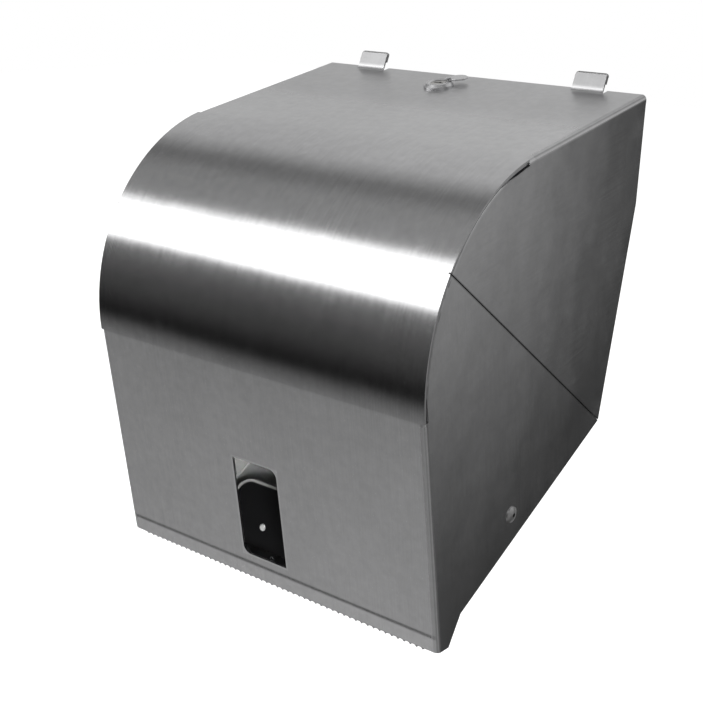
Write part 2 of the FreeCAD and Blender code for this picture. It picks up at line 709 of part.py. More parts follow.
def back_plate():
    """One folded sheet: wall plate, sloping top flange, and an arm on each side down to the pivots."""
    kink = cheek_kink[1] + 2.0
    top = TOP_EDGE_UP - PLATE_TOP_GAP
    low = TOP_EDGE_UP - PLATE_DOWN
    half_outline = [(BAND_HALF - PLATE_CORNER, top), (BAND_HALF, top - PLATE_CORNER), (BAND_HALF, kink),
                    (PLATE_HALF_TOP, kink - 3), (PLATE_HALF_LOW, low + PLATE_CORNER),
                    (PLATE_HALF_LOW - PLATE_CORNER, low)]
    points = [at(x, 0, up) for x, up in half_outline]
    points += [at(-x, 0, up) for x, up in reversed(half_outline)]
    plate = Part.Face(Part.makePolygon(points + points[:1])).extrude(FreeCAD.Vector(0, -PLATE, 0))

    flange_rear = (0.0, top)
    flange_end = plus(flange_rear, top_along, PLATE_FLANGE)
    flange_steps = [flange_end, plus(flange_end, top_out, -PLATE), (0.0, top - PLATE / top_cos)]
    plate = plate.fuse(side_prism(-PLATE_FLANGE_HALF, PLATE_FLANGE_HALF, flange_rear, flange_steps))

    for side in (-1, 1):
        start, steps = pivot_arm_outline()
        arm = side_prism(side * (BAND_HALF - PLATE), side * BAND_HALF, start, steps)
        arm = arm.cut(arm_opening(side))
        arm = arm.cut(rod(side * (BAND_HALF - 5), side * half_width, pivot, BUSH_SLEEVE_R + FIT))
        plate = plate.fuse(arm)

    for x in (-SCREW_SPACING_X / 2, SCREW_SPACING_X / 2):
        for up in (-SCREW_SPACING_Z / 2, SCREW_SPACING_Z / 2):
            plate = plate.cut(through_wall(x, up, -1, PLATE + 1, SCREW_HOLE_R))
    for x, up in ALL_STUDS:
        plate = plate.cut(through_wall(x, up, -1, PLATE + 1, STUD_R))
    return plate.removeSplitter()


def arm_opening(side):
    """The lightening slot along the middle of a pivot arm."""
    upper, lower = SLOT_TOP, SLOT_FOOT
    along = (lower[0] - upper[0], lower[1] - upper[1])
    length = math.hypot(*along)
    along = (along[0] / length, along[1] / length)
    across = (-along[1], along[0])
    wide, slim = SLOT_TOP_R, SLOT_FOOT_R
    start = plus(upper, across, wide)
    steps = [
        (plus(upper, along, -wide), plus(upper, across, -wide)),
        plus(lower, across, -slim),
        (plus(lower, along, slim), plus(lower, across, slim)),
    ]
    return side_prism(side * (BAND_HALF - PLATE - 1), side * (BAND_HALF + 1), start, steps)


def strike():
    """A folded angle on the wall plate: the turned cam is caught under its lip."""
    lip_depth = BARREL_LENGTH - 0.9
    lip_top = plus(plus(top_rear, top_out, -lip_depth + PLATE), top_along, STRIKE_FORWARD)
    lip_low = plus(plus(top_rear, top_out, -lip_depth), top_along, STRIKE_FORWARD)
    base = PLATE
    root = lip_top[1] + (lip_top[0] - base) * top_sin / top_cos
    steps = [lip_top, lip_low, (base + PLATE, root - PLATE / top_cos - PLATE * top_sin),
             (base + PLATE, root - STRIKE_FLANGE), (base, root - STRIKE_FLANGE)]
    piece = side_prism(LOCK_X - STRIKE_HALF, LOCK_X + STRIKE_HALF, (base, root), steps)
    for x, up in STRIKE_STUDS:
        piece = piece.cut(through_wall(x, up, 0, 6, STUD_R + FIT))
    return piece


def studs():
    """Press-in studs, flush with the wall face."""
    pieces = [through_wall(x, up, 0, STUD_LENGTH, STUD_R) for x, up in ALL_STUDS]
    return Part.makeCompound(pieces)


def nuts(places, seat):
    """Hexagon nuts with a flange, on the studs at the given places."""
    pieces = []
    for x, up in places:
        flange = through_wall(x, up, seat, seat + 1.0, 5.6)
        nut = flange.fuse(hexagon(4.0, 4.0, x, up, seat + 1.0))
        pieces.append(nut.cut(through_wall(x, up, seat - 1, seat + 8, STUD_R + FIT)).removeSplitter())
    return Part.makeCompound(pieces)


# Roll arms

def arm_outline(inset, root):
    """A roll arm's side outline: square at the wall, round about the roll's axis."""
    axis = ROLL_AXIS
    half = ARM_ROOT_HALF - inset
    radius = ARM_END_R - inset
    away = axis[0] - ARM_KNEE
    dip = half - radius
    tilt = math.atan2(dip, away)
    touch_up = (axis[0] + radius * math.sin(tilt), axis[1] + radius * math.cos(tilt))
    touch_down = (axis[0] + radius * math.sin(tilt), axis[1] - radius * math.cos(tilt))
    far = (axis[0] + radius, axis[1])
    return (root, axis[1] - half), [(root, axis[1] + half), (ARM_KNEE, axis[1] + half), touch_up,
                                    (far, touch_down), (ARM_KNEE, axis[1] - half)]


def arm_tray(side, root):
    """The arm's pressed dish: a web with a lip all round, open to the outside."""
    start, steps = arm_outline(0.0, root)
    tray = side_prism(side * ARM_FACE, side * (ARM_FACE + ARM_DEPTH), start, steps)
    start, steps = arm_outline(ARM_SHEET, root - 20.0)
    hollow = side_prism(side * (ARM_FACE + ARM_SHEET), side * (ARM_FACE + ARM_DEPTH + 5), start, steps)
    tray = tray.cut(hollow)
    edge = ARM_FACE + ARM_DEPTH
    tip = ROLL_AXIS[0] + ARM_END_R
    taper = [(edge, ARM_KNEE), (ARM_FACE + ARM_TIP_DEPTH, tip), (edge + 5, tip), (edge + 5, ARM_KNEE)]
    points = [at(side * x, forward, ROLL_AXIS[1] - ARM_ROOT_HALF - 1) for x, forward in taper]
    wedge = Part.Face(Part.makePolygon(points + points[:1]))
    tray = tray.cut(wedge.extrude(FreeCAD.Vector(0, 0, 2 * ARM_ROOT_HALF + 2)))
    return tray.cut(rod(side * (ARM_FACE - 5), side * edge, ROLL_AXIS, AXLE_R))


def roll_arm_left():
    """The fixed arm, with a foot flange bolted flat on the wall plate."""
    tray = arm_tray(-1, PLATE)
    low = ROLL_AXIS[1] - ARM_FOOT_HALF
    high = ROLL_AXIS[1] + ARM_FOOT_HALF
    foot = block(-ARM_FACE - ARM_SHEET, -ARM_FACE + ARM_FOOT_REACH, PLATE, PLATE + ARM_SHEET, low, high)
    upstand = side_prism(-ARM_FACE - ARM_SHEET, -ARM_FACE, (PLATE, low), [
        (PLATE, high), (PLATE + 8.0, high), (PLATE + 26.0, ROLL_AXIS[1] + ARM_ROOT_HALF),
        (PLATE + 26.0, ROLL_AXIS[1] - ARM_ROOT_HALF), (PLATE + 8.0, low)])
    piece = tray.fuse(foot).fuse(upstand)
    for x, up in ARM_STUDS:
        piece = piece.cut(through_wall(x, up, 0, 6, STUD_R + FIT))
    return piece.removeSplitter()


def arm_bracket():
    """The hinge bracket for the sprung arm: a foot on the wall plate and two ears."""
    low = ROLL_AXIS[1] - ARM_FOOT_HALF
    high = ROLL_AXIS[1] + ARM_FOOT_HALF
    corner = ARM_ROOT_HALF + GAP + ARM_SHEET
    piece = block(ARM_FACE - ARM_FOOT_REACH, ARM_FACE + 2.5, PLATE, PLATE + ARM_SHEET, low, high)
    piece = piece.fuse(block(ARM_FACE, HINGE_X + 5.0, PLATE, PLATE + ARM_SHEET,
                             ROLL_AXIS[1] - corner, ROLL_AXIS[1] + corner))
    for side in (-1, 1):
        inner = ROLL_AXIS[1] + side * (ARM_ROOT_HALF + GAP)
        outer = inner + side * ARM_SHEET
        ear = block(HINGE_X - 5.0, HINGE_X + 5.0, PLATE, HINGE_FORWARD, min(inner, outer), max(inner, outer))
        ear = ear.fuse(upright(HINGE_X, HINGE_FORWARD, min(inner, outer), max(inner, outer), 5.0))
        ear = ear.cut(upright(HINGE_X, HINGE_FORWARD, min(inner, outer) - 1, max(inner, outer) + 1, HINGE_PIN_R))
        piece = piece.fuse(ear)
    for x, up in ARM_STUDS:
        piece = piece.cut(through_wall(x, up, 0, 6, STUD_R + FIT))
    return piece.removeSplitter()


def roll_arm_right():
    """The sprung arm: the same dish, hung on the hinge pin through its top and bottom lips."""
    tray = arm_tray(1, HINGE_FORWARD - 5.5)
    pin = upright(HINGE_X, HINGE_FORWARD, ROLL_AXIS[1] - 40, ROLL_AXIS[1] + 40, HINGE_PIN_R + FIT)
    return tray.cut(pin)


def hinge_pin():
    """The hinge pin, headed at the top and grooved for its clip at the foot."""
    reach = ARM_ROOT_HALF + GAP + ARM_SHEET
    top = ROLL_AXIS[1] + reach
    low = ROLL_AXIS[1] - reach - 3.0
    pin = upright(HINGE_X, HINGE_FORWARD, low, top, HINGE_PIN_R)
    pin = pin.fuse(upright(HINGE_X, HINGE_FORWARD, top, top + 1.4, 3.6))
    groove = upright(HINGE_X, HINGE_FORWARD, low + 1.5, low + 2.3, 5.0)
    groove = groove.cut(upright(HINGE_X, HINGE_FORWARD, low + 1.5, low + 2.3, HINGE_PIN_R - 0.5))
    return pin.cut(groove).removeSplitter()


def hinge_clip():
    """An open ring that sits in the pin's groove."""
    low = ROLL_AXIS[1] - ARM_ROOT_HALF - GAP - ARM_SHEET - 3.0 + 1.55
    ring = upright(HINGE_X, HINGE_FORWARD, low, low + 0.7, 4.0)
    ring = ring.cut(upright(HINGE_X, HINGE_FORWARD, low - 1, low + 2, HINGE_PIN_R - 0.45))
    return ring.cut(block(HINGE_X - 1.2, HINGE_X + 1.2, HINGE_FORWARD, HINGE_FORWARD + 6, low - 1, low + 2))


def arm_spring():
    """A torsion spring round the hinge pin: one leg along the arm, one against the foot."""
    pitch = 2 * WIRE_R + 0.5
    low = ROLL_AXIS[1] - COIL_TURNS * pitch / 2

    def coil(turns):
        angle = 2 * math.pi * turns
        across, forward = COIL_R * math.cos(angle), COIL_R * math.sin(angle)
        return at(HINGE_X - across, HINGE_FORWARD + forward, low + pitch * turns)

    halves = 2 * COIL_TURNS
    start = coil(0)
    foot_tip = FreeCAD.Vector(start.x, -(PLATE + ARM_SHEET + GAP + WIRE_R), start.z)
    edges = [Part.LineSegment(foot_tip, start).toShape()]
    for k in range(halves):
        edges.append(Part.Arc(coil(k / 2), coil(k / 2 + 0.25), coil(k / 2 + 0.5)).toShape())
    end = coil(halves / 2)
    leg_tip = FreeCAD.Vector(end.x, end.y - 16.0, end.z)
    edges.append(Part.LineSegment(end, leg_tip).toShape())
    least = min((coil(k / 24) - coil(k / 24 + 1)).Length for k in range(24)) - 2 * WIRE_R
    print(f"arm_spring: least gap between turns {least:.2f} mm")
    path = Part.Wire(edges)
    section = Part.Wire(Part.makeCircle(WIRE_R, foot_tip, FreeCAD.Vector(0, -1, 0)))
    return path.makePipeShell([section], True, False)


def hub_axle(side):
    """A shouldered pin riveted into the arm."""
    web_out = ARM_FACE + ARM_SHEET
    return turned(ROLL_AXIS, [
        (AXLE_TIP, 0.0), (AXLE_TIP, AXLE_R - 0.8), (AXLE_TIP + 0.8, AXLE_R), (web_out, AXLE_R),
        (web_out, 6.4), (web_out + 1.0, 5.4), (web_out + 1.4, 0.0)], side)


def hub_clip(side):
    """A push-on ring that keeps the hub on its axle."""
    face = HUB_CLIP_FACE
    back = HUB_CLIP_FACE + HUB_CLIP_THICK
    return turned(ROLL_AXIS, [
        (face, AXLE_R), (back, AXLE_R), (back, 7.4), (back - 0.4, 8.2), (face + 0.3, 8.2), (face, 7.0)], side)


def hub(side):
    """A moulded hub: flange against the roll's end, hollow plug inside its core, bored for the axle."""
    roll_end = ROLL_WIDTH / 2 + 1.0
    bore = AXLE_R + FIT
    plug_end = roll_end - PLUG_STRAIGHT
    nose = roll_end - PLUG_NOSE
    wall = HUB_WALL
    body = turned(ROLL_AXIS, [
        (HUB_NOSE_FACE, bore), (ARM_FACE - GAP, bore), (ARM_FACE - GAP, 8.0), (roll_end + 2.6, 10.0),
        (roll_end + 2.6, HUB_FLANGE_R - 0.8), (roll_end + 1.8, HUB_FLANGE_R), (roll_end, HUB_FLANGE_R),
        (roll_end, CORE_PLUG_R), (plug_end, CORE_PLUG_R), (nose, CORE_PLUG_R - 4.5),
        (nose, CORE_PLUG_R - 4.5 - wall), (plug_end, CORE_PLUG_R - wall), (roll_end - 1.0, CORE_PLUG_R - wall),
        (roll_end - 1.0, HUB_BOSS_R), (HUB_NOSE_FACE, HUB_BOSS_R)], side)
    for k in range(4):
        rib = Part.makeBox(5.0, 1.6, CORE_PLUG_R - wall + 0.4 - 6.4, FreeCAD.Vector(0, -0.8, 6.4))
        rib.rotate(FreeCAD.Vector(0, 0, 0), FreeCAD.Vector(1, 0, 0), 90 * k + 45)
        low = roll_end - 6.0 if side > 0 else -(roll_end - 1.0)
        rib.translate(at(low, *ROLL_AXIS))
        body = body.fuse(rib)
    return body.removeSplitter()


# Paper guide

fence_down = (math.sin(math.radians(FENCE_LEAN)), -math.cos(math.radians(FENCE_LEAN)))
fence_out = (math.cos(math.radians(FENCE_LEAN)), math.sin(math.radians(FENCE_LEAN)))


def paper_guide():
    """A folded shelf under the roll: an upstand on the wall plate, pressed beads, and a lip in front."""
    length = math.dist(cheek_low, slope_end)
    along = ((slope_end[0] - cheek_low[0]) / length, (slope_end[1] - cheek_low[1]) / length)
    up = (-along[1], along[0])
    rise = along[1] / along[0]
    under = plus(cheek_low, up, GUIDE_INSET)
    over = plus(under, up, GUIDE_SHEET)
    under_rear = (PLATE, under[1] + (PLATE - under[0]) * rise)
    over_rear = (PLATE + GUIDE_SHEET, over[1] + (PLATE + GUIDE_SHEET - over[0]) * rise)
    lip_face = plus(FENCE_TOP, fence_out, -FENCE_SHEET)
    centre = crossing(plus(over, up, -GUIDE_NOSE_R), along,
                      plus(lip_face, fence_out, -GUIDE_NOSE_R), fence_down)
    middle = math.radians((math.degrees(math.atan2(up[1], up[0])) + FENCE_LEAN) / 2)
    between = (math.cos(middle), math.sin(middle))
    inner = GUIDE_NOSE_R - GUIDE_SHEET
    outer_end = plus(centre, fence_out, GUIDE_NOSE_R)
    inner_end = plus(centre, fence_out, inner)
    shelf = side_prism(-GUIDE_HALF, GUIDE_HALF, (PLATE, over_rear[1]), [
        over_rear, plus(centre, up, GUIDE_NOSE_R),
        (plus(centre, between, GUIDE_NOSE_R), outer_end),
        plus(outer_end, fence_down, GUIDE_LIP), plus(inner_end, fence_down, GUIDE_LIP), inner_end,
        (plus(centre, between, inner), plus(centre, up, inner)),
        under_rear])
    flange = block(-GUIDE_FLANGE_HALF, GUIDE_FLANGE_HALF, PLATE, PLATE + GUIDE_SHEET,
                   over_rear[1] - 1.0, GUIDE_FLANGE_TOP)
    shelf = shelf.fuse(flange)

    bead_inset = 12.0
    first = plus(over, along, bead_inset)
    bead_length = math.dist(over, centre) - 2 * bead_inset

    def bead(x, half, lift, root):
        """A pressed bead's block: lift above the shelf's top face, root below it."""
        low = plus(first, up, -root)
        high = plus(first, up, lift)
        ramp = lift + root
        return side_prism(x - half, x + half, low, [
            plus(high, along, ramp), plus(high, along, bead_length - ramp), plus(low, along, bead_length)])

    for x in GUIDE_BEADS:
        shelf = shelf.fuse(bead(x, BEAD_HALF, BEAD_LIFT, GUIDE_SHEET))
        shelf = shelf.cut(bead(x, BEAD_HALF - GUIDE_SHEET, BEAD_LIFT - GUIDE_SHEET, GUIDE_SHEET + 1.0))
    for x, height in GUIDE_STUDS:
        shelf = shelf.cut(through_wall(x, height, 0, 6, STUD_R + FIT))
    for x in (-FENCE_RIVET_X, FENCE_RIVET_X):
        shelf = shelf.cut(at_fence(Part.makeCylinder(FENCE_RIVET_R, 12, FreeCAD.Vector(0, 0, -8)), x))
    return shelf.removeSplitter()


def at_fence(shape, x):
    """Move a shape from its own frame, Z outward, onto the fence's front face at a rivet's place."""
    spot = plus(FENCE_TOP, fence_down, FENCE_RIVET_DOWN)
    shape.rotate(FreeCAD.Vector(0, 0, 0), FreeCAD.Vector(1, 0, 0), 90 - FENCE_LEAN)
    shape.translate(at(x, *spot))
    return shape


def fence_plate(half, height, corner, face, depth):
    """A plate on the fence's plane with its two top corners round. Face is how far its front stands out."""
    bow = corner * (1 - math.sqrt(0.5))

    def place(x, down):
        return at(x, *plus(plus(FENCE_TOP, fence_down, down), fence_out, face))

    top = FENCE_HEIGHT - height
    edges = [
        Part.LineSegment(place(-half, FENCE_HEIGHT), place(-half, top + corner)).toShape(),
        Part.Arc(place(-half, top + corner), place(bow - half, top + bow), place(corner - half, top)).toShape(),
        Part.LineSegment(place(-half + corner, top), place(half - corner, top)).toShape(),
        Part.Arc(place(half - corner, top), place(half - bow, top + bow), place(half, top + corner)).toShape(),
        Part.LineSegment(place(half, top + corner), place(half, FENCE_HEIGHT)).toShape(),
        Part.LineSegment(place(half, FENCE_HEIGHT), place(-half, FENCE_HEIGHT)).toShape(),
    ]
    inward = FreeCAD.Vector(0, fence_out[0], -fence_out[1])
    return Part.Face(Part.Wire(edges)).extrude(inward * depth)


def paper_fence():
    """A moulded plate on the guide's lip that turns the paper down: round corners and a proud rim."""
    depth = FENCE_RIM_PROUD + FENCE_SHEET
    plate = fence_plate(FENCE_HALF, FENCE_HEIGHT, FENCE_CORNER_R, FENCE_RIM_PROUD, depth)
    field = fence_plate(FENCE_HALF - FENCE_RIM, FENCE_HEIGHT - FENCE_RIM, FENCE_CORNER_R - FENCE_RIM,
                        FENCE_RIM_PROUD + 1.0, FENCE_RIM_PROUD + 1.0)
    field = field.fuse(front_of_foot())
    plate = plate.cut(field)
    for x in (-FENCE_RIVET_X, FENCE_RIVET_X):
        plate = plate.cut(at_fence(Part.makeCylinder(FENCE_RIVET_R, 12, FreeCAD.Vector(0, 0, -8)), x))
    return plate.removeSplitter()


def front_of_foot():
    """The block that clears the rim along the fence's straight foot."""
    low = plus(FENCE_TOP, fence_down, FENCE_HEIGHT - 1.0)
    out = plus(low, fence_out, 2.0)
    steps = [out, plus(out, fence_down, 3.0), plus(low, fence_down, 3.0)]
    return side_prism(-FENCE_HALF + FENCE_RIM, FENCE_HALF - FENCE_RIM, low, steps)


def fence_rivets():
    """Two small domed rivets through the fence and the guide's lip, closed behind."""
    pieces = []
    behind = FENCE_SHEET + GUIDE_SHEET
    for x in (-FENCE_RIVET_X, FENCE_RIVET_X):
        shank = Part.makeCylinder(FENCE_RIVET_R, behind, FreeCAD.Vector(0, 0, -behind))
        head = Part.makeCylinder(2.2, 0.9)
        head = head.makeFillet(0.7, [e for e in head.Edges if abs(e.BoundBox.ZMin - 0.9) < 0.01])
        tail = Part.makeCylinder(1.9, 0.7, FreeCAD.Vector(0, 0, -behind - 0.7))
        pieces.append(at_fence(shank.fuse(head).fuse(tail).removeSplitter(), x))
    return Part.makeCompound(pieces)


PARTS = {
    "hood_shell": hood_shell,
    "tear_blade": tear_blade,
    "pivot_rivet_left": lambda: pivot_rivet(-1),
    "pivot_rivet_right": lambda: pivot_rivet(1),
    "pivot_washer_left": lambda: pivot_washer(-1),
    "pivot_washer_right": lambda: pivot_washer(1),
    "pivot_bush_left": lambda: pivot_bush(-1),
    "pivot_bush_right": lambda: pivot_bush(1),
    "lock_barrel": lock_barrel,
    "lock_plug": lock_plug,
    "lock_cam": lock_cam,
    "cam_washer": cam_washer,
    "cam_screw": cam_screw,
    "lock_washer": lock_washer,
    "lock_nut": lock_nut,
    "lock_shutter": lock_shutter,
    "shutter_pin": shutter_pin,
    "back_plate": back_plate,
    "strike": strike,
    "wall_plate_studs": studs,
    "strike_nuts": lambda: nuts(STRIKE_STUDS, 2 * PLATE),
    "arm_nuts": lambda: nuts(ARM_STUDS, PLATE + ARM_SHEET),
    "guide_nuts": lambda: nuts(GUIDE_STUDS, PLATE + GUIDE_SHEET),
    "roll_arm_left": roll_arm_left,
    "roll_arm_right": roll_arm_right,
    "arm_bracket": arm_bracket,
    "hinge_pin": hinge_pin,
    "hinge_clip": hinge_clip,
    "arm_spring": arm_spring,
    "hub_axle_left": lambda: hub_axle(-1),
    "hub_axle_right": lambda: hub_axle(1),
    "hub_clip_left": lambda: hub_clip(-1),
    "hub_clip_right": lambda: hub_clip(1),
    "hub_left": lambda: hub(-1),
    "hub_right": lambda: hub(1),
    "paper_guide": paper_guide,
    "paper_fence": paper_fence,
    "fence_rivets": fence_rivets,
}


def build():
    os.makedirs("parts", exist_ok=True)
    for name, make in PARTS.items():
        shape = make()
        shape.exportStep("parts/" + name + ".step")
        box = shape.BoundBox
        print(f"{name}: {len(shape.Solids)} solid, valid {shape.isValid()}, {shape.Volume:.0f} mm3, "
              f"X {box.XMin:.1f}..{box.XMax:.1f}, Y {box.YMin:.1f}..{box.YMax:.1f}, "
              f"Z {box.ZMin:.1f}..{box.ZMax:.1f}")


build()
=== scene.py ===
# %% [markdown]
# A wall dispenser for roll towels, dressed in Blender
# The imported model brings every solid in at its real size, in metres. The wall is the plane Y = 0, the
# hood stands on its negative side, and Z is up. This script adds the camera, a plain studio, the
# finishes and the small repeated forms that the solids leave out.

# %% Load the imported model
import json
import math
import bmesh
import bpy
from mathutils import Matrix, Vector

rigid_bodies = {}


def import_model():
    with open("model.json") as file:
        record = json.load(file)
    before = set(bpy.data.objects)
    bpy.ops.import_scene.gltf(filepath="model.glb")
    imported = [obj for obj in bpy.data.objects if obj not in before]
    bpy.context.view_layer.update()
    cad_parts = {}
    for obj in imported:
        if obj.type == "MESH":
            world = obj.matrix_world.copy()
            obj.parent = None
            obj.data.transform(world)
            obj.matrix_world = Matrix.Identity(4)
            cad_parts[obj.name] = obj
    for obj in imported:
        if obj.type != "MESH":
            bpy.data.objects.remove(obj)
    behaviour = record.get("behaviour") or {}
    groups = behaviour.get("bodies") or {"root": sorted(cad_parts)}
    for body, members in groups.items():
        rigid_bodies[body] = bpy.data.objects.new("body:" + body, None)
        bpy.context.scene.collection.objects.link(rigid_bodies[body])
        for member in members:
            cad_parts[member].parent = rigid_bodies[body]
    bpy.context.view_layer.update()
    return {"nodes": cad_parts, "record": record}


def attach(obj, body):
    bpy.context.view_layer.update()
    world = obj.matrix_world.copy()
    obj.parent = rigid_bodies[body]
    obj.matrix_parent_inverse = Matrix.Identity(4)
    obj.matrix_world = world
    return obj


for leftover in list(bpy.data.objects):
    bpy.data.objects.remove(leftover)
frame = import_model()
nodes = frame["nodes"]

# %% [markdown]
# Sizes that the finishes and the added pieces share
# The added pieces repeat a few of the solids' own dimensions, because the script can't read the file
# that made them. They are written once here, in metres, with the same meaning as there. A place in
# the side view is (forward, up), where forward is the distance from the wall.

# %% Shared sizes
MM = 0.001
TOP_SLOPE = math.radians(11.0)
FRONT_LEAN = math.radians(10.0)
HOOD_HALF = 120.0 * MM
SHEET = 1.2 * MM
ARC_RADIUS = 110.0 * MM
TOP_REAR = (0.5 * MM, 92.0 * MM)
top_along = (math.cos(TOP_SLOPE), -math.sin(TOP_SLOPE))
top_out = (math.sin(TOP_SLOPE), math.cos(TOP_SLOPE))
front_along = (-math.sin(FRONT_LEAN), -math.cos(FRONT_LEAN))
front_out = (math.cos(FRONT_LEAN), -math.sin(FRONT_LEAN))


def plus(place, direction, distance):
    return (place[0] + direction[0] * distance, place[1] + direction[1] * distance)


arc_centre = plus(plus(TOP_REAR, top_along, 124.0 * MM), top_out, -ARC_RADIUS)
arc_end = plus(arc_centre, front_out, ARC_RADIUS)
print("arc centre (forward, up) in mm", [round(v / MM, 1) for v in arc_centre])

# %% [markdown]
# The camera
# The photograph looks down on the hood from its right front corner. The place, the turn and the focal
# length below were solved from the hood's straight edges, so the camera is set by its own three axes
# and not by a target. The frame is 703 by 707, so the longer side is the height.

# %% Camera
right = Vector((0.78052, 0.62418, 0.03431))
up = Vector((-0.21121, 0.21166, 0.95425))
lens = bpy.data.cameras.new("camera")
lens.sensor_fit = "VERTICAL"
lens.sensor_height = 36.0
lens.lens = 66.44
lens.clip_end = 20.0
camera = bpy.data.objects.new("camera", lens)
bpy.context.scene.collection.objects.link(camera)
camera.matrix_world = Matrix.Translation((0.46474, -0.71152, 0.16815)) @ Matrix(
    (right, up, right.cross(up))).transposed().to_4x4()
bpy.context.scene.camera = camera
bpy.context.scene.view_settings.view_transform = "Standard"
print("camera at", [round(v, 3) for v in camera.location])

# %% [markdown]
# A small language for shaders
# A finish is easier to read as an expression than as a web of nodes. Wire wraps one output socket and
# lets Python's own signs add Math nodes, so 1 - mask and noise * 0.2 work. Finish holds one material
# and has one method for every other node: its kind, its settings, which are set first, and the values
# or links of its sockets.

# %% Wire and Finish
class Wire:
    """One output socket, used in Python expressions."""

    def __init__(self, finish, socket):
        self.finish = finish
        self.socket = socket

    def maths(self, operation, first, second=0.0, third=0.0):
        return self.finish.node("ShaderNodeMath", {"operation": operation}, {0: first, 1: second, 2: third})

    def __add__(self, other):
        return self.maths("ADD", self, other)

    def __radd__(self, other):
        return self.maths("ADD", other, self)

    def __sub__(self, other):
        return self.maths("SUBTRACT", self, other)

    def __rsub__(self, other):
        return self.maths("SUBTRACT", other, self)

    def __mul__(self, other):
        return self.maths("MULTIPLY", self, other)

    def __rmul__(self, other):
        return self.maths("MULTIPLY", other, self)

    def __truediv__(self, other):
        return self.maths("DIVIDE", self, other)

    def __gt__(self, other):
        return self.maths("GREATER_THAN", self, other)

    def __lt__(self, other):
        return self.maths("LESS_THAN", self, other)

    def size(self):
        return self.maths("ABSOLUTE", self)

    def between(self, low, high, at_low=0.0, at_high=1.0):
        """Runs smoothly from at_low to at_high as this value goes from low to high."""
        return self.finish.node("ShaderNodeMapRange", {"interpolation_type": "SMOOTHSTEP"},
                                {0: self, 1: low, 2: high, 3: at_low, 4: at_high})

    def larger(self, other):
        return self.maths("MAXIMUM", self, other)

    def smaller(self, other):
        return self.maths("MINIMUM", self, other)

    def power(self, other):
        return self.maths("POWER", self, other)


class Finish:
    """One node tree that is built in Python. Every call adds a node and gives back its output."""

    def __init__(self, name, tree=None):
        self.name = name
        self.material = None
        if tree is None:
            self.material = bpy.data.materials.new(name)
            self.material.use_nodes = True
            tree = self.material.node_tree
        self.tree = tree
        self.tree.nodes.clear()
        self.object_place = None

    def node(self, kind, settings=None, sockets=None, out=0):
        made = self.tree.nodes.new(kind)
        for name, value in (settings or {}).items():
            if name == "stops":
                stops = made.color_ramp.elements
                while len(stops) < len(value):
                    stops.new(0.5)
                for stop, (where, level) in zip(stops, value):
                    stop.position = where
                    stop.color = (level, level, level, 1.0) if isinstance(level, float) else (*level, 1.0)
            else:
                setattr(made, name, value)
        for name, value in (sockets or {}).items():
            if isinstance(value, Wire):
                self.tree.links.new(value.socket, made.inputs[name])
            else:
                made.inputs[name].default_value = value
        return Wire(self, made.outputs[out])

    def place(self):
        """Object coordinates, in metres."""
        if self.object_place is None:
            self.object_place = self.node("ShaderNodeTexCoord", out="Object")
        return self.object_place

    def part(self, vector, letter):
        return self.node("ShaderNodeSeparateXYZ", sockets={0: vector}, out=letter)

    def vector(self, x, y, z):
        return self.node("ShaderNodeCombineXYZ", sockets={0: x, 1: y, 2: z})

    def noise(self, where, scale, detail=2.0, roughness=0.5):
        return self.node("ShaderNodeTexNoise", sockets={
            "Vector": where, "Scale": scale, "Detail": detail, "Roughness": roughness})

    def stretched(self, sizes):
        """The object's place with each axis scaled, for a pattern that runs along one of them."""
        return self.node("ShaderNodeVectorMath", {"operation": "MULTIPLY"}, {0: self.place(), 1: sizes})

    def colour(self, factor, low, high):
        return self.node("ShaderNodeMix", {"data_type": "RGBA"}, {0: factor, 6: (*low, 1.0), 7: (*high, 1.0)}, 2)

    def bump(self, height, distance, strength=1.0, under=None):
        sockets = {"Strength": strength, "Distance": distance, "Height": height}
        if under is not None:
            sockets["Normal"] = under
        return self.node("ShaderNodeBump", sockets=sockets)

    def surface(self, **sockets):
        """The Principled shader and the output. Names are the sockets' own, with _ for a space."""
        named = {name.replace("_", " "): value for name, value in sockets.items()}
        shader = self.node("ShaderNodeBsdfPrincipled", sockets=named)
        self.node_output(shader)
        print("finish", self.name, "nodes", len(self.tree.nodes))
        return self.material

    def node_output(self, shader, kind="ShaderNodeOutputMaterial"):
        target = self.tree.nodes.new(kind)
        self.tree.links.new(shader.socket, target.inputs["Surface"])


# %% [markdown]
# The studio: floor and background
# The photograph's background is plain white. The world shows white to the camera and in metal and
# glass, and gives all other rays a plain, softer level, so the background never lights the object
# more than the lamps do. The floor is pale and matt, and shines a little for the camera alone: what
# it reflects and that little light together make white, while the object's shadow stays. The real
# one hangs on a wall, so the floor lies well below it, clear of the hood when that is tipped open.

# %% World and floor
AMBIENT = 0.62
world = bpy.data.worlds.new("studio")
bpy.context.scene.world = world
world.use_nodes = True
sky = Finish("studio", world.node_tree)
seen = sky.node("ShaderNodeLightPath", out="Is Camera Ray")
mirrored = sky.node("ShaderNodeLightPath", out="Is Glossy Ray")
through = sky.node("ShaderNodeLightPath", out="Is Transmission Ray")
white = seen.larger(mirrored).larger(through)
sky.node_output(sky.node("ShaderNodeBackground", sockets={
    "Color": (1.0, 1.0, 1.0, 1.0), "Strength": white * (1.0 - AMBIENT) + AMBIENT}), "ShaderNodeOutputWorld")
world.cycles.sampling_method = "NONE"

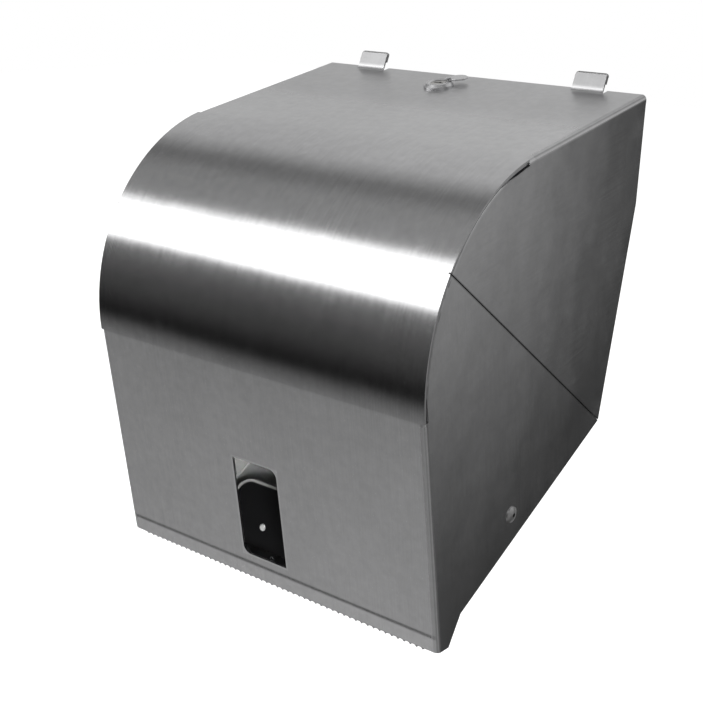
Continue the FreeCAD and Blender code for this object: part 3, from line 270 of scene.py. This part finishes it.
FLOOR_LEVEL = -0.37
floor_mesh = bpy.data.meshes.new("studio_floor")
floor_mesh.from_pydata([(-4, -4, FLOOR_LEVEL), (4, -4, FLOOR_LEVEL), (4, 4, FLOOR_LEVEL), (-4, 4, FLOOR_LEVEL)],
                       [], [(0, 1, 2, 3)])
floor = bpy.data.objects.new("studio_floor", floor_mesh)
bpy.context.scene.collection.objects.link(floor)
paper = Finish("floor_paper")
matt = paper.node("ShaderNodeBsdfDiffuse", sockets={"Color": (0.86, 0.86, 0.86, 1.0)})
glow = paper.node("ShaderNodeEmission", sockets={
    "Strength": paper.node("ShaderNodeLightPath", out="Is Camera Ray") * 0.62})
paper.node_output(paper.node("ShaderNodeAddShader", sockets={0: matt, 1: glow}))
paper.material.cycles.emission_sampling = "NONE"
floor_mesh.materials.append(paper.material)
floor.visible_glossy = False
print("floor at", FLOOR_LEVEL)

# %% [markdown]
# The studio: what the steel mirrors
# Brushed steel has hardly a colour of its own: its tones are the room's. The photograph's tones run
# round the bend in bands, a pale top, a grey dip, a white strip where a long soft box is mirrored,
# then near black and back to grey on the front. So a wide shell stands round the object and shows
# mirror rays those bands, each at the angle from which the bend picks it up. Only mirror rays see it.

# %% Mirror shell
SHELL_RADIUS = 1.6
SHELL_HALF = 3.2
# angle in degrees from straight up toward the front, and the light level there
FRONT_BANDS = [
    (-75, 0.58), (-46, 0.59), (-28, 0.58), (-19, 0.55), (-11, 0.38), (-3, 0.20), (3, 0.22), (9, 0.31),
    (18, 0.34), (27, 0.34), (34, 0.36), (38, 1.20), (42, 3.20), (62, 3.40), (65, 1.60), (68, 0.26),
    (74, 0.17), (82, 0.115), (90, 0.082), (98, 0.060), (106, 0.030), (112, 0.010), (116, 0.014),
    (121, 0.09), (128, 0.22), (134, 0.34), (150, 0.42), (180, 0.45)]
shell_mesh = bpy.data.meshes.new("mirror_shell")
steps = 96
rings = []
for x in (-SHELL_HALF, SHELL_HALF):
    for k in range(steps):
        turn = 2 * math.pi * k / steps
        rings.append((x, -arc_centre[0] - SHELL_RADIUS * math.sin(turn), arc_centre[1] + SHELL_RADIUS * math.cos(turn)))
walls = [(k, (k + 1) % steps, steps + (k + 1) % steps, steps + k) for k in range(steps)]
shell_mesh.from_pydata(rings, [], walls + [tuple(range(steps)), tuple(range(steps, 2 * steps))])
shell = bpy.data.objects.new("mirror_shell", shell_mesh)
bpy.context.scene.collection.objects.link(shell)
bands = Finish("mirror_bands")
across = bands.part(bands.place(), "X")
forward = bands.part(bands.place(), "Y") * -1.0 - arc_centre[0]
above = bands.part(bands.place(), "Z") - arc_centre[1]
turn = bands.node("ShaderNodeMath", {"operation": "ARCTAN2"}, {0: forward, 1: above}) * (180.0 / math.pi)
lowest, highest = FRONT_BANDS[0][0], FRONT_BANDS[-1][0]
level = bands.node("ShaderNodeFloatCurve", sockets={"Value": (turn - lowest) / (highest - lowest)})
curve = level.socket.node.mapping.curves[0]
top_level = max(value for _, value in FRONT_BANDS)
for k, (degrees, value) in enumerate(FRONT_BANDS):
    spot = ((degrees - lowest) / (highest - lowest), value / top_level)
    if k == 0:
        curve.points[0].location = spot
    elif k == len(FRONT_BANDS) - 1:
        curve.points[-1].location = spot
    else:
        curve.points.new(*spot)
for point in curve.points:
    point.handle_type = "VECTOR"
level.socket.node.mapping.update()
front_level = level * top_level
# behind the wall plane the cheeks look far to the side, and the back looks near the middle
side_level = across.size().between(0.75, 1.25, 0.03, 0.42) * turn.between(-128.0, -96.0, 0.35, 1.0)
side_level = side_level.larger(across.size().between(0.30, 0.66, 0.42, 0.0))
behind = turn.between(-80.0, -72.0, 1.0, 0.0)
rightward = across.between(-1.6, -0.6, 0.97, 1.07)
lamp_ends = across.between(-0.62, -0.30)
plain_level = front_level.smaller(0.80).larger(0.15)
shown = (front_level * (1.0 - lamp_ends) + plain_level * lamp_ends) * rightward
shown = shown * (1.0 - behind) + side_level * behind
at_end = across.size().between(SHELL_HALF - 0.02, SHELL_HALF - 0.01)
shown = shown * (1.0 - at_end) + at_end * 0.30
bands.node_output(bands.node("ShaderNodeEmission", sockets={"Strength": shown}))
bands.material.cycles.emission_sampling = "NONE"
shell_mesh.materials.append(bands.material)
for ray in ("camera", "diffuse", "shadow", "transmission", "volume_scatter"):
    setattr(shell, "visible_" + ray, False)
print("mirror shell bands", len(FRONT_BANDS))

# %% [markdown]
# The studio: lamps
# One long soft box hangs over the front, where the white strip in the photograph says that it was,
# and a weaker one fills from the right. Their sizes are large, so shadows are soft. Mirror rays don't
# see them, because the shell already shows the soft box's face at its own level. A small lamp with a
# narrow beam looks in through the window from the right of the camera, because the photograph shows a
# pale wedge inside at the left, and a light spot on something round. Its beam reaches little else.

# %% Lamps
def soft_box(name, place, target, width, height, power):
    data = bpy.data.lights.new(name, "AREA")
    data.shape = "RECTANGLE"
    data.size = width
    data.size_y = height
    data.energy = power
    lamp = bpy.data.objects.new(name, data)
    bpy.context.scene.collection.objects.link(lamp)
    lamp.location = place
    lamp.rotation_euler = (Vector(target) - Vector(place)).to_track_quat("-Z", "Y").to_euler()
    lamp.visible_glossy = False
    print("lamp", name, "watts", power)
    return lamp


soft_box("soft_box_front", (-0.5, -1.15, 0.95), (0.0, -0.1, 0.0), 1.5, 0.6, 7.0)
soft_box("soft_box_right", (1.3, -0.6, 0.5), (0.0, -0.1, 0.0), 0.8, 0.8, 4.0)
window_lamp = soft_box("window_lamp", (0.72, -0.80, 0.10), (-0.004, -0.19, -0.14), 0.26, 0.26, 0.32)
window_lamp.data.spread = math.radians(20.0)
window_lamp.visible_glossy = False

# %% [markdown]
# Brushed stainless steel
# The hood is one folded sheet with its grain along the wrap, over the top, round the bend and down
# the front. A noise that is squeezed in X and drawn out in Y and Z gives such a grain with no seam.
# On a cheek the grain turns with the flap: the rear flap keeps the top panel's direction and the
# front flap the front panel's, so the diagonal seam parts two grains. The grain moves the colour and
# the roughness a little and lifts the surface by a few microns, and a slow, weak bump gives the soft
# unevenness of a hand-folded sheet.

# %% Brushed steel finish
def brushed_steel(name, tone, gloss, split_cheeks):
    made = Finish(name)
    x = made.part(made.place(), "X")
    y = made.part(made.place(), "Y")
    z = made.part(made.place(), "Z")
    wrap = made.noise(made.stretched((2600.0, 26.0, 26.0)), 1.0, 3.0, 0.6)
    broad = made.noise(made.stretched((800.0, 9.0, 9.0)), 1.0, 2.0, 0.5)
    down = (y * -1.0 - arc_end[0]) * front_along[0] + (z - arc_end[1]) * front_along[1]
    if split_cheeks:
        along_top = y * -math.cos(TOP_SLOPE) - z * math.sin(TOP_SLOPE)
        across_top = z * math.cos(TOP_SLOPE) - y * math.sin(TOP_SLOPE)
        along_front = z * math.cos(FRONT_LEAN) - y * math.sin(FRONT_LEAN)
        across_front = y * math.cos(FRONT_LEAN) + z * math.sin(FRONT_LEAN)
        # the seam runs from the bend's inside down to the cheek's lower rear corner
        first = (arc_centre[0] + 108.8 * MM * math.sin(math.radians(58.4)),
                 arc_centre[1] + 108.8 * MM * math.cos(math.radians(58.4)))
        last = (23.0 * MM, -103.5 * MM)
        run = math.dist(first, last)
        side = ((y * -1.0 - last[0]) * ((first[1] - last[1]) / run)
                - (z - last[1]) * ((first[0] - last[0]) / run))
        front_flap = side > 0.0
        upper = made.noise(made.vector(x * 300.0, along_top * 22.0, across_top * 2600.0), 1.0, 3.0, 0.6)
        lower = made.noise(made.vector(x * 300.0, along_front * 22.0, across_front * 2600.0), 1.0, 3.0, 0.6)
        flap = upper * (1.0 - front_flap) + lower * front_flap
        cheek = x.size().between(HOOD_HALF - 1.9 * MM, HOOD_HALF - 0.6 * MM)
        wrap = wrap * (1.0 - cheek) + flap * cheek
    soft = made.noise(made.place(), 14.0, 2.0, 0.5)
    mottle = made.noise(made.place(), 170.0, 3.0, 0.6)
    touch = made.noise(made.place(), 48.0, 4.0, 0.6).between(0.52, 0.72)
    shade = wrap * 0.36 + broad * 0.05 + soft * 0.24 + mottle * 0.35
    bright = shade.between(0.25, 0.75, 0.86, 1.08)
    rough = wrap * 0.10 + touch * 0.035 + (gloss - 0.05)
    if split_cheeks:
        # painted highlight: the colour is lighter round the window's punched edge; painted shade: darker in the crease;
        # and lighter along the edge strip below it
        facing = (z * 1.0 - arc_end[1]).between(-0.002, 0.0, 1.0, 0.0) * (1.0 - cheek)
        to_window = ((x + 3.85 * MM).size() - 16.65 * MM).larger((down - 90.15 * MM).size() - 32.65 * MM)
        rim = to_window.between(0.9 * MM, 1.6 * MM, 1.0, 0.0) * facing
        crease = (down - 129.0 * MM).size().between(0.5 * MM, 2.0 * MM, 1.0, 0.0) * facing
        below = down.between(129.6 * MM, 131.0 * MM) * facing
        tab_up = (y * -1.0 - TOP_REAR[0]) * top_out[0] + (z - TOP_REAR[1]) * top_out[1]
        tab = tab_up.between(1.5 * MM, 4.0 * MM)
        bright = bright * (rim * 0.16 + 1.0) * (1.0 - crease * 0.24) * (below * 0.20 + 1.0) * (1.0 - tab * 0.30)
        # the inner face is rougher, the mill's dull finish, and its colour is darker, a painted shade: under the top,
        # behind the front and inside the bend
        fore = y * -1.0 - arc_centre[0]
        rise = z - arc_centre[1]
        under_top = fore * top_out[0] + rise * top_out[1] < ARC_RADIUS - 0.6 * MM
        behind_front = fore * front_out[0] + rise * front_out[1] < ARC_RADIUS - 0.6 * MM
        on_bend = (fore * top_along[0] + rise * top_along[1] > 0.0) * (
            fore * -front_along[0] + rise * -front_along[1] > 0.0)
        inside_bend = (fore * fore + rise * rise).power(0.5) < ARC_RADIUS - 0.6 * MM
        between_cheeks = x.size() < HOOD_HALF - 0.6 * MM
        inside = under_top * behind_front * between_cheeks * inside_bend.larger(1.0 - on_bend)
        bright = bright * (1.0 - inside * 0.14)
        # hands dull the rear of the top and the long bends more than the polished bend in front
        bend = x.size().between(116.4 * MM, 117.4 * MM) * x.size().between(119.7 * MM, 119.95 * MM, 1.0, 0.0)
        bend = bend * (1.0 - on_bend)
        handled = (fore * top_along[0] + rise * top_along[1]).between(-70.0 * MM, -30.0 * MM, 1.0, 0.0)
        rough = rough + below * 0.06 + crease * 0.10 + tab * 0.30 + inside * 0.24
        rough = rough + bend * 0.26 + handled * (1.0 - cheek) * (1.0 - tab) * 0.22
        # painted shade: the cheeks' colour is darker in a thin line along the seam's gap
        bright = bright * (1.0 - side.size().between(0.3 * MM, 1.2 * MM, 1.0, 0.0) * cheek * 0.5)
    base = made.node("ShaderNodeVectorMath", {"operation": "SCALE"}, {0: tone, "Scale": bright})
    swell = made.bump(soft, 0.0009, 0.5)
    grain = made.bump(wrap, 0.000010, 0.9, swell)
    return made.surface(Base_Color=base, Metallic=1.0, Roughness=rough, Normal=grain)


STEEL_TONE = (0.60, 0.60, 0.605)
hood_finish = brushed_steel("hood_steel", STEEL_TONE, 0.15, True)
blade_finish = brushed_steel("blade_steel", (0.20, 0.20, 0.205), 0.34, False)

# %% [markdown]
# Galvanised and plated steel
# The chassis is zinc-coated sheet. Zinc freezes in flat crystals, so a cell pattern picks a slightly
# different grey and gloss for each, and fine scratches lie over them. Nuts, studs and the pin have a
# finer plating with a mottled, slightly blue grey. The fence's rivets stand in damp paper dust, so
# their heads have a chalky, half-metal skin.

# %% Galvanised and plated finishes
def galvanised_steel(name):
    made = Finish(name)
    crystal = made.node("ShaderNodeTexVoronoi", {"feature": "F1"}, {
        "Vector": made.place(), "Scale": 210.0, "Randomness": 1.0}, "Color")
    pick = made.node("ShaderNodeSeparateColor", sockets={0: crystal}, out=0)
    scratch = made.noise(made.stretched((900.0, 900.0, 30.0)), 1.0, 2.0, 0.6)
    dull = made.noise(made.place(), 22.0, 3.0, 0.5)
    base = made.colour(pick * 0.6 + dull * 0.4, (0.50, 0.51, 0.52), (0.62, 0.63, 0.64))
    rough = pick * 0.10 + scratch * 0.08 + 0.30
    relief = made.bump(scratch, 0.00002, 0.6, made.bump(pick, 0.00004, 0.4))
    return made.surface(Base_Color=base, Metallic=1.0, Roughness=rough, Normal=relief)


def zinc_plating(name, low, high, base_rough, metal=1.0):
    made = Finish(name)
    mottle = made.noise(made.place(), 380.0, 4.0, 0.6)
    fine = made.noise(made.place(), 2400.0, 2.0, 0.5)
    base = made.colour(mottle.between(0.3, 0.7), low, high)
    rough = mottle * 0.14 + base_rough
    return made.surface(Base_Color=base, Metallic=metal, Roughness=rough, Normal=made.bump(fine, 0.000015, 0.7))


chassis_finish = galvanised_steel("chassis_steel")
zinc_finish = zinc_plating("zinc_plate", (0.40, 0.42, 0.45), (0.60, 0.62, 0.64), 0.22)
spring_finish = zinc_plating("spring_steel", (0.10, 0.10, 0.105), (0.22, 0.22, 0.225), 0.28)
rivet_finish = zinc_plating("rivet_aluminium", (0.42, 0.42, 0.42), (0.56, 0.56, 0.56), 0.30)
chalky_rivet = zinc_plating("rivet_chalky", (0.60, 0.60, 0.59), (0.80, 0.80, 0.79), 0.40, 0.35)

# %% [markdown]
# Chrome and the lock's core
# The lock's head and its dust cover are bright chrome that keys have worn: mostly mirror-smooth, with
# fine curved scratches and a dull haze in patches. The core is nickel-plated and a little darker. A turned
# groove runs round the head's face. It is a bump on the distance from the lock's axis, worked out in the
# leaning top's own directions.

# %% Lock finishes
lock_place = plus(TOP_REAR, top_along, 27.0 * MM)


def worn_chrome(name, tone, haze):
    made = Finish(name)
    fore = made.part(made.place(), "Y") * -1.0 - lock_place[0]
    rise = made.part(made.place(), "Z") - lock_place[1]
    aside = made.part(made.place(), "X") + 9.0 * MM
    slide = fore * top_along[0] + rise * top_along[1]
    lift = fore * top_out[0] + rise * top_out[1]
    reach = (aside * aside + slide * slide).power(0.5)
    groove = (reach - 7.3 * MM).size().between(0.0, 0.7 * MM, 1.0, 0.0) * (lift > 2.5 * MM) * (lift < 3.2 * MM)
    scratch = made.noise(made.stretched((1500.0, 260.0, 1500.0)), 1.0, 3.0, 0.7)
    cloud = made.noise(made.place(), 190.0, 3.0, 0.5)
    base = made.colour(cloud, tuple(v * 0.88 for v in tone), tone)
    rough = scratch.between(0.45, 0.8) * 0.16 + cloud * 0.06 + haze
    turned = made.bump(groove * -1.0, 0.0003, 1.0)
    return made.surface(Base_Color=base, Metallic=1.0, Roughness=rough,
                        Normal=made.bump(scratch, 0.000008, 0.8, turned))


chrome_finish = worn_chrome("lock_chrome", (0.70, 0.70, 0.71), 0.20)
core_finish = worn_chrome("lock_brass", (0.46, 0.45, 0.43), 0.14)

# %% [markdown]
# Moulded plastics
# Black parts are filled polypropylene with a fine spark-eroded texture and a few scuffs where paper
# rubs. The bushes are natural nylon, which lets a little light in, and the guide has a pale powder
# coat. One recipe makes them all: a fine grain for the bump, a slow cloud for the colour.

# %% Plastic finishes
def moulded_plastic(name, low, high, base_rough, texture, glow_in=0.0):
    made = Finish(name)
    grain = made.noise(made.place(), 1300.0, 3.0, 0.6)
    cloud = made.noise(made.place(), 60.0, 3.0, 0.5)
    scuff = made.noise(made.stretched((260.0, 40.0, 40.0)), 1.0, 3.0, 0.6).between(0.58, 0.74)
    base = made.colour(cloud * 0.7 + scuff * 0.3, low, high)
    rough = base_rough + cloud * 0.08 - scuff * 0.06
    return made.surface(Base_Color=base, Roughness=rough, Normal=made.bump(grain, texture, 0.8),
                        Specular_IOR_Level=0.45, Subsurface_Weight=glow_in, Subsurface_Scale=0.002)


hub_finish = moulded_plastic("hub_plastic", (0.035, 0.035, 0.037), (0.065, 0.065, 0.068), 0.42, 0.00003)
nylon_finish = moulded_plastic("bush_nylon", (0.70, 0.69, 0.65), (0.80, 0.79, 0.76), 0.36, 0.00002, 0.15)
coat_finish = moulded_plastic("guide_coat", (0.52, 0.52, 0.515), (0.62, 0.62, 0.61), 0.34, 0.00003)

# %% [markdown]
# The fence behind the window
# The black fence turns the paper down. The towel runs over its round rim, which is polished smoother, and
# the rim's colour is pale, a painted highlight. The pale band follows the outline: the distance to a rectangle
# with round corners, in the fence's own leaning plane, is worked out from the place alone.

# %% Fence finish
FENCE_TOP = (161.5 * MM, -146.0 * MM)
FENCE_LEAN = math.radians(10.0)
fence_down = (math.sin(FENCE_LEAN), -math.cos(FENCE_LEAN))
fence_out = (math.cos(FENCE_LEAN), math.sin(FENCE_LEAN))


def fence_plastic(name):
    made = Finish(name)
    x = made.part(made.place(), "X")
    y = made.part(made.place(), "Y")
    z = made.part(made.place(), "Z")
    fall = (y * -1.0 - FENCE_TOP[0]) * fence_down[0] + (z - FENCE_TOP[1]) * fence_down[1]
    corner = 16.0 * MM
    beside = (x.size() - (52.0 * MM - corner)).larger(0.0)
    above_it = (corner - fall).larger(0.0)
    reach = (beside * beside + above_it * above_it).power(0.5)
    inset = corner - reach
    rim = inset.between(1.1 * MM, 2.0 * MM, 1.0, 0.0) * fall.between(30.0 * MM, 34.0 * MM, 1.0, 0.0)
    grain = made.noise(made.place(), 1300.0, 3.0, 0.6)
    cloud = made.noise(made.place(), 70.0, 3.0, 0.5)
    # painted highlight: the rim's colour runs pale, and the rim is also smoother
    rim_highlight_and_polish = rim * (cloud * 0.5 + 0.6)
    base = made.colour(rim_highlight_and_polish, (0.006, 0.006, 0.0065), (0.34, 0.34, 0.335))
    rough = 0.42 + cloud * 0.08 - rim_highlight_and_polish * 0.12
    return made.surface(Base_Color=base, Roughness=rough, Normal=made.bump(grain, 0.00004, 0.8),
                        Specular_IOR_Level=0.45)


guide_finish = fence_plastic("guide_plastic")

# %% [markdown]
# Finishes onto the solids
# Every solid keeps its shape and takes the finish of its slot in the record, so a change of finish
# there needs no change here.

# %% Finish every solid
finish_of = {
    "hood_steel": hood_finish, "blade_steel": blade_finish, "chassis_steel": chassis_finish,
    "zinc_plate": zinc_finish, "rivet_aluminium": rivet_finish, "lock_chrome": chrome_finish,
    "lock_brass": core_finish, "spring_steel": spring_finish, "bush_nylon": nylon_finish,
    "hub_plastic": hub_finish, "guide_plastic": guide_finish, "guide_coat": coat_finish}
slot_names = [material["slot"] for material in frame["record"]["materials"]]
finished = 0
for name, solid in nodes.items():
    for holder in solid.material_slots:
        slot_name = holder.material.name.split(".")[0] if holder.material else ""
        match = [s for s in slot_names if s == slot_name or s in slot_name]
        if match:
            holder.material = chalky_rivet if name == "fence_rivets" else finish_of[match[0]]
            finished += 1
        else:
            print("no slot for", name, slot_name)
print("finished slots", finished)

# %% [markdown]
# Small forms that repeat
# The solids leave out threads, grip ribs and weld marks, because those would only slow the collision
# work. Each is one small shape that repeats by a rule, so each is a Geometry Nodes tree: the sizes are
# named inputs, and the result is turned into a plain mesh that rides on its body. The wrapper that
# wrote the shaders writes these trees too, because both kinds have nodes, sockets and Math nodes.

# %% Pattern
class Pattern(Finish):
    """A Geometry Nodes tree with named inputs. Its result is baked to one mesh."""

    def __init__(self, name, sizes):
        super().__init__(name, bpy.data.node_groups.new(name, "GeometryNodeTree"))
        face = self.tree.interface
        face.new_socket("Result", in_out="OUTPUT", socket_type="NodeSocketGeometry")
        kinds = {"Places": "Geometry", "Finish": "Material"}
        self.keys = {}
        for label in ["Places", "Finish"] + list(sizes):
            kind = kinds.get(label) or sizes[label]
            self.keys[label] = face.new_socket(label, in_out="INPUT", socket_type="NodeSocket" + kind).identifier
        self.inlet = self.tree.nodes.new("NodeGroupInput")

    def given(self, label):
        return Wire(self, self.inlet.outputs[label])

    def end(self, geometry):
        real = self.node("GeometryNodeRealizeInstances", sockets={0: geometry})
        dressed = self.node("GeometryNodeSetMaterial", sockets={"Geometry": real, "Material": self.given("Finish")})
        outlet = self.tree.nodes.new("NodeGroupOutput")
        self.tree.links.new(dressed.socket, outlet.inputs[0])

    def bake(self, name, body, slot, places, finish, **values):
        seed = bpy.data.meshes.new(name + "_places")
        seed.from_pydata(places, [], [])
        maker = bpy.data.objects.new(name + "_maker", seed)
        bpy.context.scene.collection.objects.link(maker)
        pattern = maker.modifiers.new("pattern", "NODES")
        pattern.node_group = self.tree
        pattern[self.keys["Finish"]] = finish
        for label, value in values.items():
            pattern[self.keys[label.replace("_", " ")]] = value
        bpy.context.view_layer.update()
        graph = bpy.context.evaluated_depsgraph_get()
        made = bpy.data.meshes.new_from_object(maker.evaluated_get(graph))
        bpy.data.objects.remove(maker)
        piece = bpy.data.objects.new(name, made)
        bpy.context.scene.collection.objects.link(piece)
        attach(piece, body)
        print("piece", name, "places", len(places), "faces", len(made.polygons))
        return piece


def upright(direction):
    """The turn, as three angles, that points a shape's own Z along a direction."""
    return tuple(Vector(direction).to_track_quat("Z", "Y").to_euler())


# %% [markdown]
# Screw threads
# A thread is a ridge on a helix. The tree winds a spiral curve with the thread's pitch, sweeps a small
# three-sided profile along it, and puts a copy at each place. On the lock's barrel two flats cut the
# thread, so the ridge is squeezed back to the flats and only its round parts stand out.

# %% Thread pattern
thread = Pattern("screw_thread", {
    "Radius": "Float", "Length": "Float", "Turns": "Float", "Ridge": "Float", "Flats": "Float", "Turn": "Vector"})
helix = thread.node("GeometryNodeCurveSpiral", sockets={
    "Resolution": 28, "Rotations": thread.given("Turns"), "Start Radius": thread.given("Radius"),
    "End Radius": thread.given("Radius"), "Height": thread.given("Length")})
ridge = thread.node("GeometryNodeCurvePrimitiveCircle", sockets={
    "Resolution": 3, "Radius": thread.given("Ridge")})
wound = thread.node("GeometryNodeCurveToMesh", sockets={
    "Curve": helix, "Profile Curve": ridge, "Fill Caps": True})
spot = thread.node("GeometryNodeInputPosition")
kept = thread.part(spot, "X").larger(thread.given("Flats") * -1.0).smaller(thread.given("Flats"))
squeezed = thread.node("GeometryNodeSetPosition", sockets={
    "Geometry": wound, "Position": thread.vector(kept, thread.part(spot, "Y"), thread.part(spot, "Z"))})
placed = thread.node("GeometryNodeInstanceOnPoints", sockets={
    "Points": thread.given("Places"), "Instance": squeezed, "Rotation": thread.given("Turn")})
thread.end(placed)

# %% Threads on the studs and on the lock's barrel
STUDS = [(-18, 54), (0, 54), (-86, -76), (-86, 4), (86, -76), (86, 4), (-60, -74), (0, -74), (60, -74)]
thread.bake("stud_threads", "chassis", "zinc_plate", [(x * MM, -7.0 * MM, z * MM) for x, z in STUDS],
            zinc_finish, Radius=2.42 * MM, Length=1.7 * MM, Turns=2.125, Ridge=0.26 * MM, Flats=1.0,
            Turn=upright((0, -1, 0)))
barrel_foot = plus(lock_place, top_out, -19.6 * MM)
thread.bake("barrel_thread", "hood", "lock_chrome", [(-9.0 * MM, -barrel_foot[0], barrel_foot[1])],
            chrome_finish, Radius=7.92 * MM, Length=13.0 * MM, Turns=13.0, Ridge=0.34 * MM,
            Flats=6.74 * MM, Turn=(TOP_SLOPE, 0.0, 0.0))

# %% [markdown]
# Grip ribs on the hubs
# Fine ribs along each hub's plug bite into the card core, so that the roll turns with the hub. One rib
# is a short line whose thickness swells and fades, swept round. The tree copies it round the plug's
# axis, and each hub gets its own mesh, because each turns with its own body.

# %% Hub ribs
ribs = Pattern("grip_ribs", {"Count": "Int", "Radius": "Float", "Length": "Float", "Thickness": "Float"})
line = ribs.node("GeometryNodeCurvePrimitiveLine", sockets={
    "Start": (0.0, 0.0, 0.0), "End": ribs.vector(0.0, 0.0, ribs.given("Length"))})
fine = ribs.node("GeometryNodeResampleCurve", sockets={"Curve": line, "Count": 9})
along = ribs.node("GeometryNodeSplineParameter", out="Factor")
swell = (along * (1.0 - along) * 4.0 + 0.02).power(0.4)
shaped = ribs.node("GeometryNodeSetCurveRadius", sockets={"Curve": fine, "Radius": swell})
round_rib = ribs.node("GeometryNodeCurvePrimitiveCircle", sockets={
    "Resolution": 8, "Radius": ribs.given("Thickness")})
rib = ribs.node("GeometryNodeCurveToMesh", sockets={
    "Curve": shaped, "Profile Curve": round_rib, "Scale": swell, "Fill Caps": True})
ring = ribs.node("GeometryNodeMeshCircle", sockets={
    "Vertices": ribs.given("Count"), "Radius": ribs.given("Radius")})
round_plug = ribs.node("GeometryNodeInstanceOnPoints", sockets={"Points": ring, "Instance": rib})
laid = ribs.node("GeometryNodeTransform", sockets={"Geometry": round_plug, "Rotation": (0.0, math.pi / 2, 0.0)})
moved = ribs.node("GeometryNodeInstanceOnPoints", sockets={"Points": ribs.given("Places"), "Instance": laid})
ribs.end(moved)
ROLL_AXIS = (100.5 * MM, -36.0 * MM)
for name, body, start in (("hub_ribs_left", "left_hub", -90.8 * MM), ("hub_ribs_right", "right_hub", 84.4 * MM)):
    ribs.bake(name, body, "hub_plastic", [(start, -ROLL_AXIS[0], ROLL_AXIS[1])], hub_finish,
              Count=24, Radius=17.9 * MM, Length=6.4 * MM, Thickness=0.42 * MM)

# %% [markdown]
# Spot-weld marks
# A strap is welded behind each cheek's seam, and the blade behind the front's lower edge. A spot weld
# leaves a shallow ring where the electrode pressed. The ring is a thin torus, sunk halfway into the
# sheet, and the tree puts one at every weld, turned to the face that it lies on.

# %% Weld marks
welds = Pattern("spot_welds", {"Radius": "Float", "Bead": "Float", "Turn": "Vector"})
edge = welds.node("GeometryNodeCurvePrimitiveCircle", sockets={"Resolution": 28, "Radius": welds.given("Radius")})
bead = welds.node("GeometryNodeCurvePrimitiveCircle", sockets={"Resolution": 6, "Radius": welds.given("Bead")})
mark = welds.node("GeometryNodeCurveToMesh", sockets={"Curve": edge, "Profile Curve": bead})
pressed = welds.node("GeometryNodeInstanceOnPoints", sockets={
    "Points": welds.given("Places"), "Instance": mark, "Rotation": welds.given("Turn")})
welds.end(pressed)
seam_top = plus(arc_centre, (math.sin(math.radians(58.4)), math.cos(math.radians(58.4))), 108.8 * MM)
seam_foot = (23.0 * MM, -103.5 * MM)
seam_length = math.dist(seam_top, seam_foot)
seam_down = ((seam_foot[0] - seam_top[0]) / seam_length, (seam_foot[1] - seam_top[1]) / seam_length)
seam_side = (seam_down[1], -seam_down[0])
for name, x in (("seam_welds_left", -1), ("seam_welds_right", 1)):
    places = []
    for k in range(9):
        for beside in (-3.6 * MM, 3.6 * MM):
            forward, height = plus(plus(seam_top, seam_down, (14.0 + 20.0 * k) * MM), seam_side, beside)
            places.append((x * 117.6 * MM, -forward, height))
    welds.bake(name, "hood", "hood_steel", places, hood_finish,
               Radius=1.5 * MM, Bead=0.16 * MM, Turn=upright((-x, 0, 0)))
forward, height = plus(plus(arc_end, front_along, 122.0 * MM), front_out, -2.0 * MM)
welds.bake("blade_welds", "hood", "blade_steel",
           [((-100 + 20 * k) * MM, -forward, height) for k in range(11)], blade_finish,
           Radius=1.5 * MM, Bead=0.16 * MM, Turn=upright((0, front_out[0], -front_out[1])))
